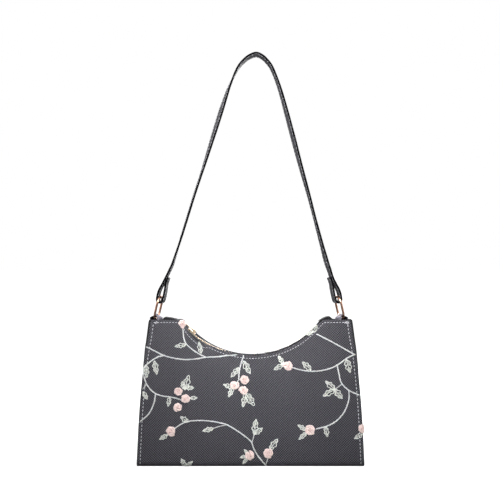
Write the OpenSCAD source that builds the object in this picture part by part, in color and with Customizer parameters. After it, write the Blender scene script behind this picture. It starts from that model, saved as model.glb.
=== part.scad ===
// Zip-top shoulder bag: a wrapped body with pleated side gussets, a curved zip and a ring-hung strap.
// Millimetres. The front faces -Y, +Z is up, and the origin is the middle of the base on the floor.

/* [Body] */
// Width of the bag along its base
base_w = 250; // [180:1:320]
// Depth of the bag at its base
base_d = 60; // [50:1:90]
// Width of the front panel at its shoulders
shoulder_w = 225; // [200:1:250]
// Depth of the bag across its top edge
top_d = 24; // [23:0.5:32]
// Height of the shoulders above the floor
body_h = 160; // [140:1:200]
// How far the filled front and back swell out of flat
swell = 3; // [0:0.5:6]
// Radius of the fold between the front, the base and the back
fold_r = 6; // [4:0.5:12]
// Thickness of the outer wrap
shell_t = 1.6; // [1:0.1:2.5]

/* [Mouth] */
// Radius of the scooped mouth
mouth_r = 97.7; // [90:0.1:104]
// Depth of the mouth below the shoulders
mouth_depth = 38.2; // [32:0.1:48]
// Fillet between the mouth and each shoulder
shoulder_fillet = 8; // [4:0.5:14]

/* [Gussets] */
// Thickness of the gusset material
gusset_t = 1; // [0.6:0.1:1.6]
// Width of the seam flange behind each panel edge
flange_w = 8; // [5:0.5:10]
// How far the gusset folds in at the base
pleat_low = 2.5; // [2:0.1:4]
// How far the gusset stands out beside the shoulder
gusset_puff = 2.2; // [0:0.1:4]

/* [Lining] */
// Thickness of the stiffening boards
board_t = 0.8; // [0.5:0.1:1]
// Thickness of the base board
base_board_t = 1; // [0.8:0.1:2]
// Thickness of the lining cloth
lining_t = 0.6; // [0.4:0.1:1]
// Thickness of the facings inside the mouth
facing_t = 0.8; // [0.5:0.1:1.2]
// Height of the facings below the top edge
facing_h = 16; // [12:1:24]

/* [Zip] */
// How far the zip lies below the top edge
zip_drop = 2.5; // [0.5:0.1:3]
// Thickness of the zip tape
tape_t = 0.6; // [0.4:0.1:0.8]
// How far the tape runs down inside the top edge
tape_tuck = 8; // [5:0.5:12]
// Pitch of the teeth in one row
tooth_pitch = 2.4; // [2:0.1:3]
// Thickness of a tooth through its root
tooth_h = 2.4; // [1.8:0.1:3]
// Thickness of a tooth head
head_h = 1.4; // [1:0.1:1.6]
// Distance from the middle of the zip to the outside of a tooth root
root_y = 3.4; // [3:0.1:4.2]
// Length of a tooth root across the zip
root_len = 1.8; // [1.2:0.1:2]
// How far a tooth head reaches past the middle of the zip
head_reach = 0.9; // [0.6:0.1:1.1]
// Angle from the middle of the mouth to the closed end of the zip
closed_angle = 45; // [38:0.5:46]
// Angle from the middle of the mouth to the open end of the zip
open_angle = 47; // [38:0.5:47]
// Thickness of the stops at the ends of the teeth
stop_h = 2.2; // [1.6:0.1:2.4]

/* [Slider] */
// Length of the slider along the zip
slider_len = 10; // [8:0.5:14]
// Width of the slider
slider_w = 10.4; // [9.8:0.1:13]
// Thickness of the slider plates
slider_plate_t = 1.1; // [0.8:0.1:1.5]
// Length of the pull tab from its hinge bar
pull_len = 15.5; // [12:0.5:24]
// Width of the pull tab
pull_w = 6; // [5:0.1:9]
// Thickness of the pull tab
pull_t = 1.2; // [0.8:0.1:1.4]
// Radius of the hinge bar of the pull tab
pull_bar_r = 0.7; // [0.5:0.05:0.9]
// How far the resting pull tab is lifted off the slider
pull_lift = -2; // [-2:0.5:6]

/* [Rings and tabs] */
// Thickness of the ring wire
wire_d = 2.6; // [1.8:0.1:2.8]
// Width of a ring between the centres of its rails
ring_w = 17; // [15:0.5:20]
// Straight length of a ring between its two bends
ring_straight = 8.3; // [4:0.1:10]
// Distance of the left ring from the middle of the bag
ring_x_left = 104; // [101:0.1:105]
// Distance of the right ring from the middle of the bag
ring_x_right = 100.5; // [99:0.1:105]
// How far the lower bend of each ring is centred above the shoulders
ring_rise = 9; // [8.9:0.1:11]
// Lean of both rings towards the middle
ring_lean = 13.5; // [0:0.5:16]
// Turn of the left ring away from square
ring_turn_left = 13; // [0:0.5:15]
// Turn of the right ring away from square
ring_turn_right = 17; // [0:0.5:18]
// Width of the tab that holds a ring
tab_w = 9; // [6:0.5:10]
// Thickness of the tab
tab_t = 1.5; // [1:0.1:2]
// Half height inside the tab loop
tab_loop_r = 2.9; // [2.8:0.05:3.2]
// How much wider than high the inside of the tab loop is
tab_slot = 3.4; // [3.4:0.1:5]
// Length of the tab leg on the gusset below its loop
tab_leg = 15; // [12:1:20]
// Diameter of the rivet head
rivet_head_d = 5; // [4:0.5:6]
// Diameter of the rivet shank
rivet_d = 2; // [1.5:0.1:2.5]
// Thickness of the rivet head
rivet_head_t = 1.4; // [1:0.1:2]

/* [Strap] */
// Width of the strap
strap_w = 11; // [8:0.5:12]
// Thickness of the strap
strap_t = 2.2; // [1.6:0.1:2.4]
// Height of the top of the strap arch above the floor
strap_top = 457.5; // [380:0.5:560]
// Sideways shift of the top of the arch
strap_shift = 6.4; // [-10:0.1:10]
// Height of the folded eye at each strap end
eye_h = 24.5; // [22:0.5:34]
// Inward run of the folded eye over its height
eye_run = 7.3; // [6:0.1:12]

/* [Hidden] */
$fn = 96;
// Clearances, overruns and steps
seam_gap = 0.2;
soft_gap = 0.3;
run_gap = 0.25;
over = 40;
nip = 0.01;
profile_steps = 12;
gusset_steps = 8;
rivet_gap = 0.05;
// Layers of the wall, each measured inwards from the outer face
tape_in = shell_t + seam_gap;
lining_in = tape_in + max(gusset_t, board_t) + seam_gap;
facing_out = lining_in + facing_t;
lining_out = lining_in + lining_t;
board_z = shell_t + seam_gap;
lining_z = board_z + base_board_t + seam_gap;
// Mouth circle and its fillets
mouth_low = body_h - mouth_depth;
mouth_z = mouth_low + mouth_r;
fillet_x = sqrt((mouth_r + shoulder_fillet) ^ 2 - (mouth_z - body_h + shoulder_fillet) ^ 2);
fillet_z = body_h - shoulder_fillet;
meet_x = fillet_x * mouth_r / (mouth_r + shoulder_fillet);
meet_z = mouth_z - (mouth_z - fillet_z) * mouth_r / (mouth_r + shoulder_fillet);
arc_end = atan2(meet_x, mouth_z - meet_z);
// The zip lies on a wider circle, a little below the top edge
zip_r = mouth_r + zip_drop;
tooth_arc = tooth_pitch * 180 / (PI * zip_r);
tooth_half = tooth_arc * 0.22;
slider_arc = slider_len * 180 / (PI * zip_r);
stop_arc = tooth_arc * 0.8;
slider_at = -closed_angle + slider_arc / 2;
first_tooth = -closed_angle + slider_arc * 0.42;
last_tooth = open_angle - stop_arc;
teeth_n = floor((last_tooth - first_tooth) / tooth_arc);
plate_low = zip_r - tooth_h / 2 - run_gap;
plate_high = zip_r + tooth_h / 2 + run_gap;
lip_gap = tape_t / 2 + run_gap;
post_w = 1.6;
lip_w = 0.8;
// Pull tab hinge
bail_r = pull_bar_r + run_gap + 0.9 * tape_t + pull_bar_r / 2;
bail_w = pull_w * 0.27;
hinge_x_share = 0.26;
hinge_x = slider_len * hinge_x_share;
hinge_up = bail_r;
hinge_z = mouth_z - plate_low + slider_plate_t + hinge_up;
// Rings and tabs: the lower bend of each ring is centred at ring_x and ring_z
wire_r = wire_d / 2;
bend_r = ring_w / 2;
ring_z = body_h + ring_rise;
loop_out = 1.6;
loop_drop = bend_r * 0.853;
tab_r = tab_loop_r + tab_t;
rivet_drop_share = 0.5;
// Strap eyes
lap_gap = 0.35;
wire_top = ring_straight + bend_r;
eye_r = wire_r * 1.4 + soft_gap + strap_t / 2;
edge_sag = bend_r - sqrt(bend_r ^ 2 - (strap_w / 2) ^ 2);
eye_top_half = (strap_t + lap_gap) / 2 * 1.06;

function sgn(side) = side < 0 ? -1 : 1;
function ring_x(side) = side < 0 ? ring_x_left : ring_x_right;
function ring_turn(side) = side < 0 ? ring_turn_left : ring_turn_right;

// Half width of the wrap at height z
function edge_x(z) = base_w / 2 - (base_w - shoulder_w) / 2 * z / body_h;
// Half depth of the outer face at height z
function face_y(z) = base_d / 2 - (base_d - top_d) / 2 * z / body_h + 4 * swell * (z / body_h) * (1 - z / body_h);

// One side of the cross profile from the base fold up, moved inwards by d
function side_points(d, top) = [
    for (i = [0 : 6]) let (a = i * 15)
        [face_y(fold_r) - fold_r + (fold_r - d) * sin(a), fold_r - (fold_r - d) * cos(a)],
    for (i = [1 : profile_steps]) let (z = fold_r + (top - fold_r) * i / profile_steps) [face_y(z) - d, z]
];

// Filled cross profile of the body, moved inwards by d and floored at low
module profile(d, top = body_h) {
    pts = side_points(d, top);
    n = len(pts);
    polygon(concat(pts, [for (i = [0 : n - 1]) [-pts[n - 1 - i][0], pts[n - 1 - i][1]]]));
}

// A cross profile drawn in Y and Z becomes a solid along X
module along_x(w = 2 * base_w) {
    translate([-w / 2, 0, 0]) rotate([90, 0, 90]) linear_extrude(w) children();
}

// An outline drawn in X and Z becomes a solid along Y
module along_y(d = 3 * base_d) {
    translate([0, d / 2, 0]) rotate([90, 0, 0]) linear_extrude(d) children();
}

// Outline of the front seen square on, with its sides moved inwards
module front_outline(inset = 0, drop = 0, low = 0) {
    difference() {
        polygon([
            [-edge_x(low) + inset, low],
            [edge_x(low) - inset, low],
            [edge_x(body_h) - inset, body_h - drop],
            [-edge_x(body_h) + inset, body_h - drop]
        ]);
        translate([0, -drop]) mouth_cut();
    }
}

// The scooped mouth with a fillet at each shoulder
module mouth_cut() {
    translate([0, mouth_z]) circle(r = mouth_r);
    for (side = [-1, 1]) difference() {
        polygon([
            [side * fillet_x, body_h + over],
            [side * fillet_x, fillet_z],
            [side * meet_x, meet_z],
            [side * meet_x * (1 - nip), meet_z],
            [side * meet_x * (1 - nip), body_h + over]
        ]);
        translate([side * fillet_x, fillet_z]) circle(r = shoulder_fillet);
    }
}

// A band of the wall between two depths, on one face of the bag
module wall_band(side, d0, d1, low) {
    intersection() {
        along_x() difference() {
            profile(d0);
            profile(d1, body_h + nip);
            translate([0, low / 2 - over / 2]) square([2 * base_d, low + over], center = true);
        }
        translate([-base_w, side < 0 ? -base_d : 0, 0]) cube([2 * base_w, base_d, 2 * body_h]);
    }
}

// A ring sector in X and Z about the mouth centre, from angle a0 to a1
module sector(r0, r1, a0, a1) {
    mid = (a0 + a1) / 2;
    half = (a1 - a0) / 2;
    far = r1 * 1.2;
    translate([0, mouth_z]) rotate(mid) intersection() {
        difference() {
            circle(r = r1, $fn = 360);
            circle(r = r0, $fn = 360);
        }
        polygon([[0, 0], [-far * tan(half), -far], [far * tan(half), -far]]);
    }
}

// Outer wrap

module shell() {
    color([0.29, 0.28, 0.31]) intersection() {
        along_x() difference() {
            profile(0);
            profile(shell_t, body_h + nip);
        }
        along_y() front_outline();
    }
}

// Gussets

// Where the middle fold of the gusset lies at height z
function tab_inner(side) = ring_x(side) + (loop_out - tab_t) * cos(ring_turn(side))
    - tab_w / 2 * sin(ring_turn(side)) - soft_gap;
leg_z = ring_z - loop_drop - tab_r - tab_leg - soft_gap;
function fold_x(side, z) = let (
    s = min(1, z / leg_z),
    top_x = tab_inner(side) - gusset_t / 2,
    low_x = base_w / 2 - pleat_low
) low_x + (top_x - low_x) * s ^ 1.15;
function puff(z) = gusset_puff * max(0, (z / body_h - 0.78) / 0.22);
function flange_y(z) = (z < fold_r
    ? face_y(fold_r) - fold_r + sqrt((fold_r - tape_in - gusset_t / 2) ^ 2 - (fold_r - z) ^ 2)
    : face_y(z) - tape_in - gusset_t / 2);

// Middle line of the gusset at height z, from the front flange to the middle fold
function gusset_half(side, z) = let (x = edge_x(z), y = flange_y(z), f = fold_x(side, z), p = puff(z)) [
    [x - flange_w, -y],
    [x - gusset_t * 2, -y],
    [x - gusset_t * 0.7 + p * 0.6, -y + gusset_t * 1.2],
    [x - gusset_t * 0.6 + p, -y + y * 0.28],
    [(f + x) / 2, -y * 0.65],
    [f, -y * 0.62],
    [f, -y * 0.3]
];
function gusset_line(side, z) = let (h = gusset_half(side, z), n = len(h))
    concat(h, [for (i = [0 : n - 1]) [h[n - 1 - i][0], -h[n - 1 - i][1]]]);
function unit(v) = v / norm(v);
function line_normal(p, i) = let (
    a = p[max(i - 1, 0)],
    b = p[min(i + 1, len(p) - 1)],
    t = unit(b - a)
) [t[1], -t[0]];
function gusset_ring(side, z) = let (p = gusset_line(side, z), n = len(p)) [
    for (i = [0 : n - 1]) p[i] + line_normal(p, i) * gusset_t / 2,
    for (i = [0 : n - 1]) p[n - 1 - i] - line_normal(p, n - 1 - i) * gusset_t / 2
];

// A solid through equal rings of points, with flat ends made of quads
module loft(rings) {
    n = len(rings[0]);
    m = len(rings);
    h = n / 2;
    polyhedron(
        points = [for (r = rings) each r],
        faces = concat(
            [for (j = [0 : m - 2]) for (i = [0 : n - 1])
                [j * n + i, j * n + (i + 1) % n, (j + 1) * n + (i + 1) % n, (j + 1) * n + i]],
            [for (i = [0 : h - 2]) [i, n - 1 - i, n - 2 - i, i + 1]],
            [for (i = [0 : h - 2]) [
                (m - 1) * n + i, (m - 1) * n + i + 1, (m - 1) * n + n - 2 - i, (m - 1) * n + n - 1 - i]]
        )
    );
}

module gusset(side) {
    low = board_z + base_board_t + seam_gap;
    top = body_h - seam_gap;
    levels = [
        low,
        (low + fold_r) / 2,
        for (k = [0 : gusset_steps]) fold_r + (leg_z - fold_r) * k / gusset_steps,
        (leg_z + top) / 2,
        top
    ];
    rings = [for (z = levels) [for (q = gusset_ring(side, z)) [q[0], q[1], z]]];
    color([0.07, 0.07, 0.08]) difference() {
        mirror([side < 0 ? 1 : 0, 0, 0]) loft(rings);
        rivet_shank(side, rivet_gap);
        at_ring(side) translate([loop_out, tab_w / 2 + soft_gap, -loop_drop]) rotate([90, 0, 0])
            linear_extrude(tab_w + 2 * soft_gap) loop_slot(tab_r + soft_gap);
    }
}
module gusset_left() { gusset(-1); }
module gusset_right() { gusset(1); }

// Boards

module stiffener(side) {
    color([0.5, 0.42, 0.33]) intersection() {
        wall_band(side, tape_in, tape_in + board_t, fold_r + base_board_t);
        along_y() difference() {
            front_outline(flange_w + seam_gap + gusset_t);
            translate([0, mouth_z]) circle(r = zip_r + tape_tuck + seam_gap, $fn = 360);
        }
    }
}
module stiffener_front() { stiffener(-1); }
module stiffener_back() { stiffener(1); }

module base_board() {
    w = base_w - 2 * gusset_t;
    d = 2 * (face_y(fold_r) - fold_r);
    color([0.5, 0.42, 0.33])
        translate([-w / 2, -d / 2, board_z]) cube([w, d, base_board_t]);
}

// Lining tub and facings

function lining_x(side, z) = let (
    low_x = base_w / 2 - pleat_low - gusset_t / 2 - soft_gap - lining_t,
    top_x = tab_inner(side) - gusset_t - soft_gap - lining_t
) low_x + (top_x - low_x) * min(1, z / leg_z);

module tub_outline(inset) {
    polygon([
        [-lining_x(-1, 0) + inset, 0],
        [lining_x(1, 0) - inset, 0],
        [lining_x(1, leg_z) - inset, leg_z],
        [lining_x(1, leg_z) - inset, body_h],
        [-lining_x(-1, leg_z) + inset, body_h],
        [-lining_x(-1, leg_z) + inset, leg_z]
    ]);
}

// Everything lower than the top edge by more than drop
module below_edge(drop) {
    difference() {
        translate([-base_w, -over]) square([2 * base_w, body_h + over - drop]);
        translate([0, -drop]) mouth_cut();
    }
}

module lining() {
    color([0.13, 0.12, 0.14]) difference() {
        intersection() {
            along_x() profile(lining_in);
            along_y() intersection() {
                tub_outline(0);
                below_edge(facing_h + seam_gap);
            }
            translate([-base_w, -base_d, lining_z]) cube([2 * base_w, 2 * base_d, body_h]);
        }
        intersection() {
            along_x() profile(lining_out, body_h + nip);
            along_y() difference() {
                tub_outline(lining_t);
                translate([-base_w, -over]) square([2 * base_w, over + lining_z + lining_t]);
            }
        }
    }
}

module facing(side) {
    color([0.07, 0.07, 0.08]) intersection() {
        wall_band(side, lining_in, facing_out, mouth_low / 2);
        along_y() difference() {
            tub_outline(lining_t);
            mouth_cut();
            below_edge(facing_h);
            translate([0, mouth_z]) circle(r = zip_r + tape_t / 2 + seam_gap, $fn = 360);
        }
    }
}
module facing_front() { facing(-1); }
module facing_back() { facing(1); }

// Zip tapes, sewn between the wrap and the facings

module zip_tape(side) {
    reach = arc_end;
    color([0.05, 0.05, 0.06]) union() {
        intersection() {
            along_x() difference() {
                profile(tape_in);
                translate([-root_y, -over]) square([2 * root_y, body_h + 2 * over]);
            }
            along_y() sector(zip_r - tape_t / 2, zip_r + tape_t / 2, -reach, reach);
            translate([-base_w, side < 0 ? -base_d : 0, 0]) cube([2 * base_w, base_d, 2 * body_h]);
        }
        intersection() {
            wall_band(side, tape_in, tape_in + tape_t, mouth_low / 2);
            along_y() sector(zip_r - tape_t / 2, zip_r + tape_tuck, -reach, reach);
        }
    }
}
module zip_tape_front() { zip_tape(-1); }
module zip_tape_back() { zip_tape(1); }

// Teeth: a thick root at the tape and a thinner head that reaches between the facing teeth

module tooth_band(half_h, y0, y1, shift) {
    translate([0, y1, 0]) rotate([90, 0, 0]) linear_extrude(y1 - y0)
        for (i = [0 : teeth_n - 1]) let (a = first_tooth + (i + shift) * tooth_arc)
            translate([0, mouth_z]) rotate(a) translate([0, -zip_r])
                square([2 * tooth_half * PI * zip_r / 180, 2 * half_h], center = true);
}

module teeth(side) {
    shift = side < 0 ? 0.25 : 0.75;
    color([0.85, 0.6, 0.38]) mirror([0, side < 0 ? 0 : 1, 0]) union() {
        tooth_band(tooth_h / 2, -root_y, -root_y + root_len, shift);
        tooth_band(head_h / 2, -root_y + root_len - nip, head_reach, shift);
    }
}
module teeth_front() { teeth(-1); }
module teeth_back() { teeth(1); }

// One stop on each row at the closed end, and one across both rows at the open end

module zip_stop_left() {
    color([0.85, 0.6, 0.38]) for (side = [-1, 1])
        translate([0, side * (root_y - root_len / 2) + root_len / 2, 0]) rotate([90, 0, 0])
            linear_extrude(root_len)
                sector(zip_r - stop_h / 2, zip_r + stop_h / 2, -closed_angle, -closed_angle + stop_arc);
}

module zip_stop_right() {
    color([0.85, 0.6, 0.38]) translate([0, root_y, 0]) rotate([90, 0, 0]) linear_extrude(2 * root_y)
        sector(zip_r - stop_h / 2, zip_r + stop_h / 2, open_angle, open_angle + stop_arc);
}

// Folded tape ends on the shoulders

module zip_end(points) {
    w = 2 * (face_y(body_h) - facing_out - soft_gap);
    color([0.04, 0.04, 0.05]) along_y(w) polygon(points);
}

module zip_end_left() {
    x0 = meet_x;
    dx = fillet_x - meet_x;
    up = shoulder_fillet;
    zip_end([
        [-x0 - dx * 0.06, meet_z + up * 0.1],
        [-x0 - dx * 0.75, body_h - up * 0.05],
        [-x0 - dx * 1.5, body_h + up * 0.06],
        [-x0 - dx * 3.2, body_h + up * 0.26],
        [-x0 - dx * 3.2, body_h - up * 0.4],
        [-x0 - dx * 1.5, body_h - up * 0.45],
        [-x0 - dx * 0.9, body_h - up * 0.7]
    ]);
}

module zip_end_right() {
    x0 = meet_x;
    dx = fillet_x - meet_x;
    up = shoulder_fillet;
    zip_end([
        [x0 + dx * 0.06, meet_z + up * 0.1],
        [x0 + dx * 0.55, body_h],
        [x0 + dx * 1.2, body_h + up * 0.3],
        [x0 + dx * 2.1, body_h + up * 0.48],
        [x0 + dx * 2.7, body_h + up * 0.06],
        [x0 + dx * 2.7, body_h - up * 0.4],
        [x0 + dx * 1.5, body_h - up * 0.45],
        [x0 + dx * 0.9, body_h - up * 0.7]
    ]);
}

// Slider: two curved plates round the teeth, lips beside the tapes and a post between the rows

module on_arc(angle) {
    translate([0, 0, mouth_z]) rotate([0, -angle, 0]) translate([0, 0, -mouth_z]) children();
}

module slider() {
    half = slider_arc / 2;
    lip_y = slider_w / 2;
    color([0.9, 0.68, 0.42]) on_arc(slider_at) difference() {
        union() {
            along_y(slider_w) sector(plate_low - slider_plate_t, plate_low, -half, half);
            along_y(slider_w) sector(plate_high, plate_high + slider_plate_t, -half, half);
            along_y(post_w) sector(plate_low - nip, plate_high + nip, -half, -half * 0.62);
            for (side = [-1, 1]) translate([0, side * (lip_y - lip_w / 2), 0]) {
                along_y(lip_w) sector(plate_low - nip, zip_r - lip_gap, -half, half);
                along_y(lip_w) sector(zip_r + lip_gap, plate_high + nip, -half, half);
            }
            along_y(2 * bail_w) translate([hinge_x, hinge_z]) {
                circle(r = bail_r, $fn = 48);
                translate([-bail_r, -hinge_up - slider_plate_t / 2])
                    square([2 * bail_r, hinge_up + slider_plate_t / 2]);
            }
        }
        along_y(slider_w) translate([hinge_x, hinge_z]) circle(r = pull_bar_r + run_gap, $fn = 48);
        for (side = [-1, 1]) translate([-slider_len * 0.5, side * slider_w * 0.62, 0])
            rotate([0, 0, side * 24]) translate([-slider_len / 2, -slider_w / 4, mouth_low - over / 2])
                cube([slider_len, slider_w / 2, over]);
    }
}

// Pull tab: a bar through the bail, two arms and a rounded plate

module puller() {
    arm_w = (pull_w - 2 * bail_w) / 2 - run_gap;
    color([0.9, 0.68, 0.42]) on_arc(slider_at)
        translate([hinge_x, 0, hinge_z]) rotate([0, pull_lift, 0]) union() {
            rotate([90, 0, 0]) translate([0, 0, -pull_w / 2])
                cylinder(r = pull_bar_r, h = pull_w, $fn = 32);
            translate([0, 0, -pull_t / 2]) linear_extrude(pull_t) {
                for (side = [-1, 1]) translate([-pull_len * 0.3, side * (pull_w - arm_w) / 2 - arm_w / 2])
                    square([pull_len * 0.3, arm_w]);
                difference() {
                    union() {
                        translate([-pull_len + pull_w / 2, 0]) circle(d = pull_w, $fn = 48);
                        translate([-pull_len + pull_w / 2, -pull_w / 2])
                            square([pull_len * 0.78 - pull_w / 2, pull_w]);
                    }
                    translate([-pull_len + pull_w / 2, 0]) circle(d = pull_w * 0.4, $fn = 32);
                }
            }
        }
}

// Tabs: a strip down the gusset, looped over the ring and riveted

module at_ring(side) {
    translate([side * ring_x(side), 0, ring_z]) rotate([0, 0, side * ring_turn(side)])
        mirror([side < 0 ? 1 : 0, 0, 0]) children();
}

// Outline of the tab loop, a round slot
module loop_slot(r) {
    for (way = [-1, 1]) translate([way * tab_slot / 2, 0]) circle(r = r);
    square([tab_slot, 2 * r], center = true);
}

module tab(side) {
    color([0.24, 0.23, 0.26]) difference() {
        at_ring(side) translate([loop_out, tab_w / 2, -loop_drop]) rotate([90, 0, 0])
            linear_extrude(tab_w) difference() {
                union() {
                    loop_slot(tab_r);
                    translate([-tab_t, -tab_r - tab_leg]) square([2 * tab_t, tab_r + tab_leg]);
                }
                loop_slot(tab_loop_r);
            }
        rivet_shank(side, rivet_gap);
    }
}
module tab_left() { tab(-1); }
module tab_right() { tab(1); }

// Rivets through the tab leg and the gusset, with a head on each side

rivet_drop = loop_drop + tab_r + tab_leg * rivet_drop_share;
function rivet_back(side) = tab_w / 2 * sin(ring_turn(side)) / cos(ring_turn(side)) + soft_gap
    + gusset_t * 1.5 + rivet_head_d / 2 * sin(ring_turn(side));

module rivet_shank(side, gap = 0) {
    reach = rivet_back(side) + 2 * tab_t;
    at_ring(side) translate([loop_out + tab_t, 0, -rivet_drop]) rotate([0, -90, 0])
        cylinder(r = rivet_d / 2 + gap, h = reach, $fn = 32);
}

module rivet(side) {
    back = rivet_back(side);
    color([0.78, 0.5, 0.38]) union() {
        rivet_shank(side);
        at_ring(side) translate([loop_out, 0, -rivet_drop]) rotate([0, 90, 0]) {
            translate([0, 0, tab_t]) cylinder(d = rivet_head_d, h = rivet_head_t, $fn = 48);
            translate([0, 0, -tab_t - back - rivet_head_t / 2])
                cylinder(d = rivet_head_d, h = rivet_head_t / 2, $fn = 48);
        }
    }
}
module rivet_left() { rivet(-1); }
module rivet_right() { rivet(1); }

// Rings: two straight rails and two round bends of wire

module ring(side) {
    color([0.8, 0.52, 0.42]) at_ring(side) rotate([0, -ring_lean, 0]) rotate([90, 0, 90]) union() {
        for (x = [-bend_r, bend_r]) translate([x, 0, 0]) rotate([-90, 0, 0])
            cylinder(r = wire_r, h = ring_straight, $fn = 32);
        translate([0, ring_straight, 0]) rotate_extrude(angle = 180) translate([bend_r, 0])
            circle(r = wire_r, $fn = 32);
        rotate([0, 0, 180]) rotate_extrude(angle = 180) translate([bend_r, 0])
            circle(r = wire_r, $fn = 32);
    }
}
module ring_left() { ring(-1); }
module ring_right() { ring(1); }

// Strap: one flat band, folded through both rings and lapped on itself

// Course of a leg: share of the half span, and share of the rise, from the eye to the crown
leg_shares = [
    [0.9, 0.125], [0.868, 0.156], [0.76, 0.288], [0.656, 0.419], [0.546, 0.55], [0.44, 0.682],
    [0.333, 0.813], [0.273, 0.878], [0.193, 0.944], [0.12, 0.977], [0.06, 0.993]
];
// Eye: share of its height, and how wide it stands there
eye_shares = [[0.11, 1.1], [0.29, 1.15], [0.5, 0.88], [0.72, 0.3], [1, 0]];
// Turn of the near edge, outwards from the arch, at shares of the rise
turn_left_shares = [
    [0, 1], [0.12, 0.6], [0.25, -0.5], [0.5, -0.7], [0.7, -1.85], [0.77, -1.9], [0.84, -1.3], [0.91, -0.1], [1, 1.4]
];
turn_right_shares = [
    [0, 1], [0.12, 1.4], [0.16, 1.65], [0.22, 1], [0.35, 0.55], [0.5, 1.1], [0.65, 1.6], [0.75, 1.5], [0.9, 0.9], [1, 1.4]
];
eye_turn = 13;

function eye_x(side) = ring_x(side) - wire_top * sin(ring_lean) * cos(ring_turn(side));
eye_z = ring_z + wire_top * cos(ring_lean) - edge_sag * 1.65;
rise = strap_top - strap_t / 2 - eye_z;
function leg_point(side, s) = [
    strap_shift + (side * eye_x(side) - strap_shift) * s[0],
    eye_z + rise * s[1]
];
function eye_mid(side, v) = [side * (eye_x(side) - eye_run * v ^ 1.5), eye_z + eye_h * v];
function eye_half(v, k) = eye_top_half + (eye_r - eye_top_half) * k;
function eye_side(side, way) = [for (e = eye_shares)
    eye_mid(side, e[0]) + [side * way * (e[1] > 0 ? eye_half(e[0], e[1]) : eye_top_half), 0]];
function eye_bottom(side) = [for (a = [0 : 45 : 180])
    [side * (eye_x(side) + edge_sag * 0.12 + eye_r * cos(a)), eye_z - eye_r * sin(a)]];
function back(p) = [for (i = [0 : len(p) - 1]) p[len(p) - 1 - i]];
// From the flap end, down and round the wire, and up the leg to the crown
function leg_knots(side) = concat(
    back(eye_side(side, -1)),
    back(eye_bottom(side)),
    eye_side(side, 1),
    [for (s = leg_shares) leg_point(side, s)]
);
knots = concat(leg_knots(-1), [[strap_shift, strap_top - strap_t / 2]], back(leg_knots(1)));
function spline(a, b, c, d, u) = 0.5 * (
    2 * b + (c - a) * u + (2 * a - 5 * b + 4 * c - d) * u ^ 2 + (3 * b - a - 3 * c + d) * u ^ 3);
last_knot = len(knots) - 1;
course = [
    for (i = [0 : last_knot - 1]) for (u = [0 : 0.5 : 0.5])
        spline(knots[max(i - 1, 0)], knots[i], knots[i + 1], knots[min(i + 2, last_knot)], u),
    knots[last_knot]
];
function course_dir(i) = unit(course[min(i + 1, len(course) - 1)] - course[max(i - 1, 0)]);
function turn_at(p) = let (
    side = p[0] < strap_shift ? -1 : 1,
    v = max(0, min(1, (p[1] - eye_z) / rise)),
    own = ring_turn(side) / eye_turn,
    t = side < 0 ? lookup(v, turn_left_shares) : lookup(v, turn_right_shares)
) eye_turn * t * (1 + (own - 1) * max(0, 1 - v / 0.12));
function out_at(p) = let (
    side = p[0] < strap_shift ? -1 : 1,
    v = max(0, min(1, (p[1] - eye_z) / rise)),
    a = v < 0.8 ? 20 * v : 16 + 74 * ((v - 0.8) / 0.2) ^ 2
) [side * cos(a), 0, sin(a)];
function strap_ring(i) = let (
    p = course[i],
    t = course_dir(i),
    dir = [t[0], 0, t[1]],
    turn = turn_at(p),
    w = cos(turn) * [0, -1, 0] + sin(turn) * out_at(p),
    n = unit(cross(dir, w)),
    c = [p[0], 0, p[1]],
    a = strap_w / 2,
    b = strap_t / 2,
    e = strap_t / 4
) [
    c - a * w - (b - e) * n,
    c - (a - e) * w - b * n,
    c + (a - e) * w - b * n,
    c + a * w - (b - e) * n,
    c + a * w + (b - e) * n,
    c + (a - e) * w + b * n,
    c - (a - e) * w + b * n,
    c - a * w + (b - e) * n
];

module strap() {
    rings = [for (i = [0 : len(course) - 1]) strap_ring(i)];
    color([0.1, 0.1, 0.11]) loft(rings);
}

shell();
gusset_left();
gusset_right();
stiffener_front();
stiffener_back();
base_board();
lining();
facing_front();
facing_back();
zip_tape_front();
zip_tape_back();
teeth_front();
teeth_back();
zip_stop_left();
zip_stop_right();
zip_end_left();
zip_end_right();
slider();
puller();
tab_left();
tab_right();
rivet_left();
rivet_right();
ring_left();
ring_right();
strap();
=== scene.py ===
"""Looks and soft goods of the shoulder bag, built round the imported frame.

Forms are worked out in millimetres, and new_object turns them into metres. x runs to the right seen
from the front, y to the back and z up. A side of -1 is the front or the left, 1 the back or the right.
"""

import functools
from math import atan2, cos, degrees, pi, radians, sin, sqrt

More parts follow.
